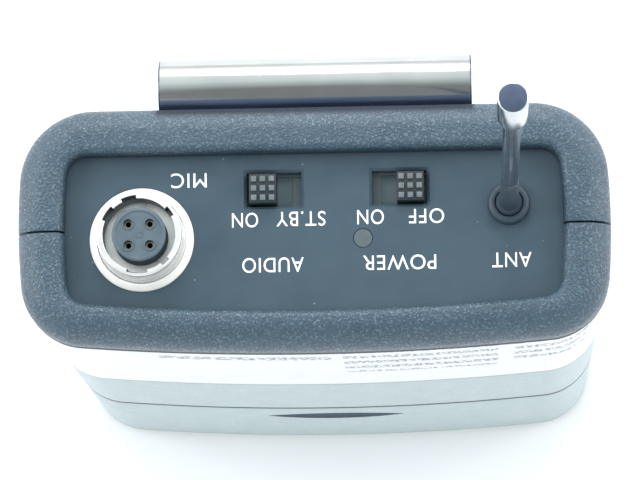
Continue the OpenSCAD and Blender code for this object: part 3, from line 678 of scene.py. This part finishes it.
def front_at(x, inset):
    """The depth of the case's front at x, inset below its surface."""
    return CASE.front_y - sqrt((CASE.front_r - inset) ** 2 - x * x)


def lens_rise(x, half_w, half_h):
    """Half the height at x of a lens made by two arcs."""
    r = (half_w ** 2 + half_h ** 2) / (2 * half_h)
    return sqrt(r * r - x * x) - (r - half_h)


def lens_outline(half_w, half_h, n=40):
    """Points of the lens, in x and z about the grip's centre."""
    xs = [half_w * cos(pi * i / n) for i in range(n + 1)]
    return ([(x, lens_rise(x, half_w, half_h)) for x in xs]
            + [(-x, -lens_rise(x, half_w, half_h)) for x in xs[1:-1]])


def battery_door():
    door = front_skin("battery_door_skin", door_low.z, door_high.z, door_high.y, 0.6, DOOR_EDGE)
    inside = cad_inside("battery_door", STEP + SKIN_IN, 0.02, door_high.z - 0.05)
    combine(door, [inside], "UNION")
    gap = 0.04
    outline = lens_outline(GRIP_HALF_W + gap, GRIP_HALF_H + gap)
    pocket = skin("tool", [[(x, y, GRIP_Z + z) for x, z in outline]
                           for y in (collar_low.y - 1, grip_high.y + 0.01)])
    combine(door, [pocket])
    finish_mesh(door, DOOR_GREY)
    place(door, "door", "grey_case", "battery_door")


def door_grip():
    """Dark insert, scooped out for the thumb: flush at its outline and hollow in the middle."""
    depth, nx, nz = 0.75, 60, 16
    rows = []
    for i in range(nx + 1):
        x = GRIP_HALF_W * cos(pi * i / nx)
        half_h = lens_rise(x, GRIP_HALF_W, GRIP_HALF_H)
        scoop = depth * half_h / GRIP_HALF_H
        rows.append([(x, front_at(x, STEP) + scoop * (1 - v * v) ** 0.8, GRIP_Z + half_h * v)
                     for v in (2 * j / nz - 1 for j in range(nz + 1))])
    loops = [row + [(x, grip_high.y, z) for x, y, z in reversed(row)] for row in rows]
    grip = skin("door_grip_skin", loops, MATERIALS["black_rubber"], smooth=50)
    place(grip, "door", "black_rubber", "door_grip")


def front_label():
    """Film wrapped round the front; its ends lift a little from the curve of the case."""
    lift, lifted_points = 0.34, 4
    thickness = STEP - (rear_high.x - label_high.x)
    path_in = CASE.half(False, STEP - 0.001, label_high.y)
    path_out = CASE.half(False, STEP - thickness, label_high.y)
    low, high = label_low.z, label_high.z
    loops = []
    for k, ((xi, yi), (xo, yo)) in enumerate(zip(path_in, path_out)):
        from_end = min(k, len(path_in) - 1 - k)
        rise = copysign(lift * max(0.0, 1 - from_end / lifted_points) ** 2, xi)
        loops.append([(xi + rise, yi, low), (xo + rise, yo, low),
                      (xo + rise, yo, high), (xi + rise, yi, high)])
    label = skin("front_label_film", loops, MATERIALS["white_label"])
    place(label, "case", "white_label", "front_label")


# ---------- panel ----------

def middle(node):
    low, high = box_mm(node)
    return (low.x + high.x) / 2, (low.y + high.y) / 2


SOCKET, LAMP, ANTENNA = middle("socket_nut"), middle("power_lamp"), middle("antenna_collar")
WINDOW = (6.0, 3.75)            # of each switch, across and deep
LAMP_R = 1.05
STEM_R = 4.85                   # the socket's threaded stem
BUSH_R, BUSH_STEM_R = 2.32, 2.0  # the antenna's bush, above the panel and in it


def top_panel():
    outline = WELL.half(True, -PANEL_GRIP, PARTING_Y) + WELL.half(False, -PANEL_GRIP, PARTING_Y)[1:-1]
    panel = plate("top_panel_plate", outline, panel_low.z, PANEL_Z)
    chamfer, past = 0.3, 0.2
    tools = []
    for node in ("audio_switch_frame", "power_switch_frame"):
        x, y = middle(node)
        half_w, half_d = WINDOW[0] / 2, WINDOW[1] / 2
        tools.append(block(x - half_w, y - half_d, panel_low.z - 1, x + half_w, y + half_d, PANEL_Z + 1))
        tools.append(block(x - half_w, y - half_d, PANEL_Z - chamfer, x + half_w, y + half_d,
                           PANEL_Z + past, flare=chamfer + past))
    for (x, y), r in ((SOCKET, STEM_R), (LAMP, LAMP_R + 0.03), (ANTENNA, BUSH_STEM_R + 0.02)):
        tools.append(rod((x, y, panel_low.z - 1), (x, y, PANEL_Z + 1), r, 64))
    combine(panel, tools)
    finish_mesh(panel, PANEL)
    place(panel, "case", "black_panel", "top_panel")


def legend(name, text, x, y, width, cap_height=1.62):
    """Flat raised print, read from the clip side."""
    curve = bpy.data.curves.new(name, "FONT")
    curve.body = text
    curve.align_x, curve.align_y = "CENTER", "CENTER"
    curve.space_character = 1.08
    obj = link_object(name, curve)
    bpy.context.view_layer.update()
    flat = bpy.data.meshes.new_from_object(obj.evaluated_get(bpy.context.evaluated_depsgraph_get()))
    bpy.data.objects.remove(obj)
    xs, ys = [v.co.x for v in flat.vertices], [v.co.y for v in flat.vertices]
    scale_x = width / (max(xs) - min(xs))
    scale_y = cap_height / (max(ys) - min(ys))
    mid_x, mid_y = (max(xs) + min(xs)) / 2, (max(ys) + min(ys)) / 2
    for v in flat.vertices:
        v.co = Vector((x - (v.co.x - mid_x) * scale_x, y - (v.co.y - mid_y) * scale_y, PANEL_Z)) * MM
    obj = link_object(name, flat)
    thick = obj.modifiers.new("thick", "SOLIDIFY")
    thick.thickness, thick.offset = 0.03 * MM, 1.0
    bake_modifiers(obj)
    finish_mesh(obj, LEGEND)
    place(obj, "case", "white_label")


LEGENDS = (
    ("legend_mic", "MIC", -13.6, 6.0, 3.9),
    ("legend_audio_on", "ON", -7.5, 1.5, 2.85),
    ("legend_audio_standby", "ST.BY", -1.4, 1.55, 5.35),
    ("legend_audio", "AUDIO", -4.5, -3.5, 6.7),
    ("legend_power_on", "ON", 6.2, 1.6, 2.9),
    ("legend_power_off", "OFF", 12.3, 1.6, 3.85),
    ("legend_power", "POWER", 9.3, -3.45, 7.95),
    ("legend_antenna", "ANT", 21.5, -3.4, 4.3),
)


# ---------- microphone socket ----------

KEYWAYS = ((105, 23), (146, 24), (36, 16), (267, 32), (313, 14))   # middle and span, in degrees
KEYWAY_DEPTH = 2.0
BARREL_R = 4.6
MOUTH_R = 3.95
KEYWAY_R = 4.3
BORE_R = 2.98                   # round the insulator
CONTACT_R = 0.5
MOUTH_DEPTH = 3.4
CONTACT_PITCH = 2.33


def socket_barrel():
    """Barrel with a keyed mouth, on a threaded stem."""
    top = barrel_high.z
    edge, lip = 0.15, 0.08
    stem_top, floor_z = nut_high.z + 0.1, top - MOUTH_DEPTH
    profile = [(BORE_R, barrel_low.z), (STEM_R, barrel_low.z), (STEM_R, stem_top - lip),
               (STEM_R - lip, stem_top), (BARREL_R, stem_top), (BARREL_R, top - edge)]
    profile += [(BARREL_R - edge * (1 - c), top - edge + edge * s) for c, s in quarter(5)[1:]]
    profile += [(MOUTH_R + lip, top), (MOUTH_R, top - lip), (MOUTH_R, floor_z), (BORE_R, floor_z)]
    barrel = lathe("socket_barrel_skin", profile, SOCKET, steps=144)
    tools = []
    for mid, span in KEYWAYS:
        angles = [radians(mid - span / 2 + span * i / 8) for i in range(9)]
        ring = [(MOUTH_R - 0.4, a) for a in angles] + [(KEYWAY_R, a) for a in reversed(angles)]
        outline = [(SOCKET[0] + r * cos(a), SOCKET[1] + r * sin(a)) for r, a in ring]
        tools.append(plate("tool", outline, top - KEYWAY_DEPTH, top + 1))
    combine(barrel, tools)
    finish_mesh(barrel, BARREL_NICKEL, 35)
    soften(barrel, 0.05, angle=50)
    centre = Vector((*SOCKET, 0)) * MM

    def in_mouth(face):
        r = (face.center - centre).xy.length / MM
        return MOUTH_R - 0.1 < r < KEYWAY_R + 0.03 and face.center.z / MM < top - 0.06

    # painted shade inside the mouth
    paint_faces(barrel, MOUTH_SHADE, in_mouth)
    place(barrel, "case", "nickel", "socket_barrel")


def socket_nut():
    """Low ring nut with a sloping face."""
    r_in, r, z0, z1 = STEM_R + 0.02, nut_high.x - SOCKET[0], nut_low.z, nut_high.z
    profile = [(r_in, z0), (r - 0.02, z0), (r, z0 + 0.03), (r, z0 + 0.2), (r - 0.04, z0 + 0.27),
               (r - 0.12, z0 + 0.32), (r_in + 0.26, z1 - 0.03), (r_in + 0.18, z1), (r_in + 0.05, z1),
               (r_in, z1 - 0.06)]
    nut = lathe("socket_nut_ring", profile, SOCKET, SATIN_NICKEL, 144, smooth=50)
    place(nut, "case", "nickel", "socket_nut")


def contact_places():
    return [(SOCKET[0] + i * CONTACT_PITCH / 2, SOCKET[1] + j * CONTACT_PITCH / 2)
            for i in (-1, 1) for j in (-1, 1)]


def socket_insulator():
    r, top, low = (core_high.x - core_low.x) / 2, core_high.z, core_low.z
    recess, lip = 0.12, 0.35
    profile = [(0, low), (r, low), (r, top - 0.18), (r - 0.06, top - 0.06), (r - 0.18, top),
               (r - lip, top), (r - lip - recess, top - recess), (0, top - recess)]
    core = lathe("socket_insulator_core", profile, SOCKET, steps=96)
    combine(core, [rod((x, y, top - 4), (x, y, top + 1), CONTACT_R, 32) for x, y in contact_places()])
    ring = [(CONTACT_R, top - 0.3), (0.66, top - 0.3), (0.66, top - 0.05), (0.62, top), (0.53, top),
            (CONTACT_R, top - 0.04)]
    bosses = [lathe("tool", ring, place_of, steps=32) for place_of in contact_places()]
    mark = block(SOCKET[0] - 0.45, SOCKET[1] - 0.35, top - recess - 0.1,
                 SOCKET[0] + 0.45, SOCKET[1] + 0.35, top - recess + 0.05, flare=-0.04)
    inner = block(SOCKET[0] - 0.3, SOCKET[1] - 0.2, top - recess + 0.01,
                  SOCKET[0] + 0.3, SOCKET[1] + 0.2, top)
    combine(mark, [inner])
    core = join("socket_insulator_core", [core, mark] + bosses, MATERIALS["dark_insulator"])
    place(core, "case", "dark_insulator", "socket_insulator")


# ---------- switches, lamp and antenna ----------

SHUTTER_Z = panel_low.z - 0.6        # top of the thin plate that moves with a knob
SHUTTER_T = 0.12
SHUTTER_HALF_W = 3.15
STEM_HALF = (0.7, 0.4)
TRAVEL = 2.4


def switch_frame(node):
    """Housing with a shallow recess over a groove for the knob's shutter and a slot for its stem."""
    low, high = box_mm(node)
    cx, cy = middle(node)
    half_w, half_d, gap = WINDOW[0] / 2 + 0.3, WINDOW[1] / 2 + 0.05, 0.05
    groove_w, groove_d = SHUTTER_HALF_W + TRAVEL / 2 + gap, 1.65
    slot_w, slot_d = STEM_HALF[0] + TRAVEL / 2 + gap, STEM_HALF[1] + gap
    groove_z = SHUTTER_Z - SHUTTER_T - gap
    housing = block(low.x, low.y, low.z, high.x, high.y, high.z, name=node + "_housing")
    combine(housing, [block(cx - w, cy - d, z0, cx + w, cy + d, z1) for w, d, z0, z1 in (
        (half_w, half_d, SHUTTER_Z + gap, high.z + 1),
        (groove_w, groove_d, groove_z, SHUTTER_Z + 2 * gap),
        (slot_w, slot_d, low.z + 1.2, groove_z + gap))])
    finish_mesh(housing, MATERIALS["switch_plastic"])
    place(housing, "case", "switch_plastic", node)


def switch_knob(node, body):
    low, high = box_mm(node)
    cx, cy = middle(node)
    half_w, half_d = 1.475, (high.y - low.y) / 2
    stud, pitch_x, pitch_y = 0.70, 0.98, 1.03
    deck = high.z - STUD_H
    stem_w, stem_d = STEM_HALF
    parts = [block(cx - half_w, cy - half_d, SHUTTER_Z - 0.02, cx + half_w, cy + half_d, deck),
             block(cx - SHUTTER_HALF_W, cy - half_d, SHUTTER_Z - SHUTTER_T,
                   cx + SHUTTER_HALF_W, cy + half_d, SHUTTER_Z),
             block(cx - stem_w, cy - stem_d, low.z, cx + stem_w, cy + stem_d, SHUTTER_Z - 0.05)]
    for i in (-1, 0, 1):
        for j in (-1, 0, 1):
            x, y = cx + i * pitch_x, cy + j * pitch_y
            parts.append(block(x - stud / 2, y - stud / 2, deck - 0.2, x + stud / 2, y + stud / 2,
                               high.z, flare=-0.05))
    for p in parts:
        soften(p, 0.03 if p is parts[1] else 0.06)
    knob = join(node + "_cap", parts, MATERIALS["knob_plastic"])
    paint_faces(knob, SHUTTER, lambda face: face.center.z / MM < SHUTTER_Z + 0.001)
    place(knob, body, "knob_plastic", node)


def power_lamp():
    low, top, foot_r, foot_h = box_mm("power_lamp")[0].z, PANEL_Z, LAMP_R + 0.3, 0.8
    profile = [(0, low), (foot_r, low), (foot_r, low + foot_h), (LAMP_R, low + foot_h),
               (LAMP_R, top - 0.1), (LAMP_R - 0.08, top - 0.03),
               (LAMP_R * 0.6, top - 0.01), (0, top)]
    lamp = lathe("power_lamp_lens", profile, LAMP, MATERIALS["lamp_lens"], 64)
    place(lamp, "case", "lamp_lens", "power_lamp")


def antenna():
    low, high = box_mm("antenna_collar")
    top, hole_r, flange_r = high.z, 1.55, high.x - ANTENNA[0]
    ring = [(hole_r, low.z), (flange_r, low.z), (flange_r, panel_low.z), (BUSH_STEM_R, panel_low.z),
            (BUSH_STEM_R, PANEL_Z), (BUSH_R - 0.05, PANEL_Z), (BUSH_R, PANEL_Z + 0.08)]
    ring += [(BUSH_R - 0.45 * (1 - c), top - 0.55 * (1 - s)) for c, s in quarter(6)]
    ring += [(hole_r + 0.15, top), (hole_r + 0.03, top - 0.05), (hole_r, top - 0.2)]
    bush = lathe("antenna_collar_ring", ring, ANTENNA, MATERIALS["black_rubber"])
    place(bush, "case", "black_rubber", "antenna_collar")

    low, high = box_mm("antenna_boot")
    sleeve_low, sleeve_high = box_mm("antenna_sleeve")
    ball_r, r, tip_r = hole_r - 0.03, (high.x - low.x) / 2, sleeve_high.x - ANTENNA[0] + 0.06
    pivot = low.z + r
    neck = radians(38)           # where the ball's top runs into the taper
    ball = [(ball_r * sin(a), pivot - ball_r * cos(a))
            for a in ((pi - neck) * i / 16 for i in range(17))]
    start = pivot + ball_r * cos(neck)
    taper = [(tip_r + (r - 0.02 - tip_r) * (1 - t) ** 1.4, start + 0.35 + (high.z - start - 0.45) * t)
             for t in (i / 12 for i in range(13))]
    boot = lathe("antenna_boot_skin", ball + taper + [(tip_r - 0.05, high.z), (0, high.z)],
                 ANTENNA, MATERIALS["black_rubber"], 64)
    place(boot, "antenna", "black_rubber", "antenna_boot")

    low_z, high_z, r = sleeve_low.z, sleeve_high.z, (sleeve_high.x - sleeve_low.x) / 2
    profile = [(0, low_z), (r, low_z), (r, (low_z + high_z) / 2), (r, high_z), (0, high_z)]
    sleeve = lathe("antenna_sleeve_skin", profile, ANTENNA, MATERIALS["antenna_sleeve"], 64)
    place(sleeve, "antenna", "antenna_sleeve", "antenna_sleeve")

    low, high = box_mm("antenna_cap")
    r, edge = (high.x - low.x) / 2, 0.2
    profile = [(0, low.z), (0.8, low.z), (r - 0.12, low.z), (r, low.z + 0.12)]
    profile += [(r - edge * (1 - c), high.z - edge * (1 - s)) for c, s in quarter(4)]
    profile.append((0, high.z))
    cap = lathe("antenna_cap_skin", profile, ANTENNA, CAP_SIDE, 64)
    # painted reflection on the cap's flat end
    paint_faces(cap, CAP_END_REFLECTION, lambda face: face.normal.z > 0.9 and face.center.z > (high.z - 0.1) * MM)
    place(cap, "antenna", "nickel", "antenna_cap")


# ---------- belt clip, rivets and screws ----------

CLIP_CORNER = 6.0               # rounding of the free end's corners


def smooth_path(points, step):
    """A Catmull-Rom curve through points, sampled about every step."""
    padded = [points[0]] + points + [points[-1]]
    path = []
    for p0, p1, p2, p3 in zip(padded, padded[1:], padded[2:], padded[3:]):
        n = max(1, round(dist(p1, p2) / step))
        for i in range(n):
            t = i / n
            path.append(tuple(
                0.5 * (2 * b + (c - a) * t + (2 * a - 5 * b + 4 * c - d) * t * t
                       + (3 * b - a - 3 * c + d) * t ** 3)
                for a, b, c, d in zip(p0, p1, p2, p3)))
    return path + [points[-1]]


def clip_route():
    """Middle line of the strip in (y, z), from the fixed leg's end over the bend to the free end."""
    inner_y, outer_y = rear_high.y - CLIP_T / 2, leg_high.y - CLIP_T / 2
    bend_r, bend_z = (outer_y - inner_y) / 2, leg_high.z
    fixed = [(inner_y, clip_low.z + (bend_z - clip_low.z) * i / 12) for i in range(12)]
    bend = [(inner_y + bend_r * (1 - cos(a)), bend_z + bend_r * sin(a))
            for a in (pi * i / 32 for i in range(32))]
    length, lean, flare = bend_z - leg_low.z, 2.4, 2.2
    knees = [(0, 0), (0.2, 0), (0.4, 0), (0.45, -0.12), (0.65, -1.2), (0.84, -lean + 0.12),
             (0.87, -lean), (0.9, -lean + 0.2), (0.95, -lean + 1.2), (1, -lean + flare)]
    free = [(outer_y + dy, bend_z - length * t) for t, dy in knees]
    return fixed + bend + [(min(y, outer_y), z) for y, z in smooth_path(free, 0.7)]


def belt_clip():
    """One steel strip, bent over at its crown into a fixed and a free leg."""
    route = clip_route()
    mid_x, half_w = (clip_low.x + clip_high.x) / 2, (clip_high.x - clip_low.x) / 2
    half_t, edge = CLIP_T / 2, 0.16
    loops = []
    for i, (y, z) in enumerate(route):
        (y0, z0), (y1, z1) = route[max(0, i - 1)], route[min(len(route) - 1, i + 1)]
        run = hypot(y1 - y0, z1 - z0)
        ny, nz = -(z1 - z0) / run, (y1 - y0) / run
        to_end = z - leg_low.z if i > len(route) / 2 else CLIP_CORNER
        short = max(0.0, CLIP_CORNER - to_end)
        w = half_w - CLIP_CORNER + sqrt(max(0.0, CLIP_CORNER ** 2 - short ** 2))
        corners = []
        for cx, ct, a0 in ((1, 1, 0), (-1, 1, 90), (-1, -1, 180), (1, -1, 270)):
            for k in range(4):
                a = radians(a0 + 30 * k)
                corners.append((cx * (w - edge) + edge * cos(a),
                                ct * (half_t - edge) + edge * sin(a)))
        loops.append([(mid_x + dx, y + ny * dt, z + nz * dt) for dx, dt in corners])
    clip = skin("belt_clip_strip", loops, MATERIALS["spring_steel"], smooth=35)
    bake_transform(clip)
    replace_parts(clip, "belt_clip", "belt_clip_leg")


def turned_rod(name, profile, place_of, direction, steps=48):
    """A turned body of (radius, distance along direction) that starts at place_of."""
    made = lathe(name, profile, (0, 0), steps=steps)
    turn = Vector(direction).to_track_quat("Z", "Y").to_matrix().to_4x4()
    made.data.transform(Matrix.Translation(Vector(place_of) * MM) @ turn)
    return made


def clip_rivets():
    low, high = box_mm("clip_rivets")
    r, dome_r, foot, dome = (high.z - low.z) / 2, 1.9, 0.06, 0.4
    under = rear_high.y - low.y
    profile = [(0, -under), (r, -under), (r, 0), (dome_r, 0)]
    profile += [(dome_r * c, foot + dome * s) for c, s in quarter(8)[:-1]] + [(0, foot + dome)]
    made = [turned_rod("rivet", profile, (x, rear_high.y, (low.z + high.z) / 2), (0, 1, 0))
            for x in (low.x + r, high.x - r)]
    rivets = join("clip_rivets_domed", made, MATERIALS["nickel"])
    place(rivets, "case", "screw_steel", "clip_rivets")


def cross_screw(name, tip, head, r, head_r, head_t):
    """A screw along +Y from its tip to the top of its head, with a cross recess and a thread."""
    (x, y0, z), y1 = tip, head
    under = y1 - y0 - head_t
    pitch, deep = 0.7, 0.12
    profile = [(0, 0), (r * 0.5, 0)]
    turns = int((under - 0.6) / pitch)
    for i in range(turns):
        profile += [(r - deep, 0.4 + i * pitch), (r, 0.4 + (i + 0.5) * pitch)]
    profile += [(r - deep, 0.4 + turns * pitch), (r - deep, under), (head_r, under)]
    profile += [(head_r * c, under + head_t * (0.45 + 0.55 * s)) for c, s in quarter(6)[:-1]]
    profile.append((0, under + head_t))
    screw = turned_rod(name, profile, (x, y0, z), (0, 1, 0))
    arm, slot, depth = head_r * 0.62, head_r * 0.16, head_t * 0.6
    combine(screw, [block(x - a, y1 - depth, z - b, x + a, y1 + 1, z + b)
                    for a, b in ((arm, slot), (slot, arm))])
    return screw


def case_screws():
    low, high = box_mm("case_screws")
    shank_r, head_r, head_t = 1.2, high.x - SCREW_X, 1.3
    made = [cross_screw("screw", (x, low.y, z), high.y, shank_r, head_r, head_t)
            for x in (-SCREW_X, SCREW_X) for z in SCREW_Z]
    screws = join("case_screws_cross", made, MATERIALS["screw_steel"])
    place(screws, "case", "screw_steel", "case_screws")


# ---------- battery ----------

def battery():
    """Block cell in a sleeve, with rolled ends, all in the jacket's finish."""
    low, high = box_mm("battery")
    bare, end_t, lip = 0.3, 0.9, 0.35     # uncovered length, the ends' thickness, the sleeve's lip
    body = block(low.x + bare, low.y, low.z, high.x - bare, high.y, high.z, name="battery_block")
    soften(body, 1.6, segments=5)
    ends = []
    for x0, x1 in ((low.x, low.x + end_t), (high.x - end_t, high.x)):
        end = block(x0, low.y + lip, low.z + lip, x1, high.y - lip, high.z - lip)
        soften(end, 0.28, segments=3)
        ends.append(end)
    cell = join("battery_block", [body] + ends, MATERIALS["battery_jacket"])
    place(cell, "case", "battery_jacket", "battery")


for make in (rear_shell, front_collar, front_cover, battery_door, door_grip, front_label, top_panel):
    make()
for entry in LEGENDS:
    legend(*entry)
for make in (socket_barrel, socket_nut, socket_insulator):
    make()
for node in ("audio_switch_frame", "power_switch_frame"):
    switch_frame(node)
for node, body in (("audio_switch_knob", "audio_slider"), ("power_switch_knob", "power_slider")):
    switch_knob(node, body)
for make in (power_lamp, antenna, belt_clip, clip_rivets, case_screws, battery):
    make()

# The CAD nodes that nothing stands for stay, with their slot's material.
replaced = set()
for made in bpy.data.objects:
    replaced |= set(made.get("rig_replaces", []))
for row in frame["record"]["subparts"]:
    if row["node"] not in replaced:
        finish_mesh(frame["nodes"][row["node"]], MATERIALS[row["material_slot"]])


# ---------- floor, light and camera ----------

# Brightness of the studio round the object, from below (0) to straight overhead (1)
SKY = ((0.33, (0.72, 0.73, 0.74)), (0.38, (1, 0.985, 1)), (0.64, (1, 0.985, 1)),
       (0.675, (0.74, 0.78, 0.80)), (0.84, (0.60, 0.66, 0.67)), (0.93, (0.36, 0.40, 0.41)),
       (0.97, (0.19, 0.20, 0.205)))
SKY_LEAN, SKY_STRENGTH = radians(27), 1.85
# name: place in metres, power, size
LIGHTS = (("fill_front", (0.1, -0.9, 0.28), 0.8, 0.7),
          ("fill_left", (-0.9, 0.1, 0.7), 5.0, 0.6),
          ("fill_right", (0.9, 0.2, 0.6), 3.5, 0.6),
          ("fill_back", (0.0, 0.9, 0.6), 5.0, 0.5),
          ("fill_top", (0.0, -0.1, 1.3), 4.0, 0.9))
CAMERA_AT, CAMERA_AIM = Vector((16.96, -72.06, 552.47)), Vector((0.744, -1.221, 92.0))
CAMERA_ROLL, LENS = radians(0.76), 241.9
FLOOR_HALF = 4000


def stage():
    scene = bpy.context.scene
    corners = [(FLOOR_HALF * i, FLOOR_HALF * j, 0) for i, j in ((-1, -1), (1, -1), (1, 1), (-1, 1))]
    floor = make_object("floor", corners, [(0, 1, 2, 3)])
    paint = Shader("floor_paint", (0.8, 0.8, 0.82), 0.6)
    paint.color(paint.mix(paint.noise(60, 3), (0.79, 0.80, 0.815), (0.83, 0.835, 0.85)))
    finish_mesh(floor, paint.mat)

    world = bpy.data.worlds.new("studio")
    scene.world = world
    world.use_nodes = True
    tree = world.node_tree
    coord = tree.nodes.new("ShaderNodeTexCoord")
    dot = tree.nodes.new("ShaderNodeVectorMath")
    dot.operation = "DOT_PRODUCT"
    dot.inputs[1].default_value = (0, -sin(SKY_LEAN), cos(SKY_LEAN))
    tree.links.new(coord.outputs["Generated"], dot.inputs[0])
    ramp = tree.nodes.new("ShaderNodeValToRGB")
    place_on_ramp = tree.nodes.new("ShaderNodeMapRange")
    place_on_ramp.inputs["From Min"].default_value = -1
    tree.links.new(dot.outputs["Value"], place_on_ramp.inputs["Value"])
    tree.links.new(place_on_ramp.outputs["Result"], ramp.inputs["Fac"])
    stops = ramp.color_ramp.elements
    for stop, (position, tone) in zip(stops, (SKY[0], SKY[-1])):
        stop.position, stop.color = position, (*tone, 1)
    for position, tone in SKY[1:-1]:
        stops.new(position).color = (*tone, 1)
    background = tree.nodes["Background"]
    tree.links.new(ramp.outputs["Color"], background.inputs["Color"])
    background.inputs["Strength"].default_value = SKY_STRENGTH

    aim = Vector((0, 0, 0.06))
    for name, where, energy, size in LIGHTS:
        light = bpy.data.lights.new(name, "AREA")
        light.energy, light.size = energy, size
        lamp = link_object(name, light)
        lamp.location = where
        lamp.rotation_euler = (aim - lamp.location).to_track_quat("-Z", "Y").to_euler()
        lamp.visible_glossy = name != "fill_top"

    data = bpy.data.cameras.new("camera")
    camera = link_object("camera", data)
    data.sensor_width, data.lens = 36, LENS
    data.clip_start, data.clip_end = 0.01, 20
    back = (CAMERA_AT - CAMERA_AIM).normalized()
    right = Vector((sin(CAMERA_ROLL), cos(CAMERA_ROLL), 0)).cross(back).normalized()
    up = back.cross(right)
    camera.matrix_world = Matrix([(right[k], up[k], back[k], CAMERA_AT[k] * MM) for k in range(3)]
                                 + [(0, 0, 0, 1)])
    scene.camera = camera
    scene.view_settings.view_transform = "Standard"


stage()
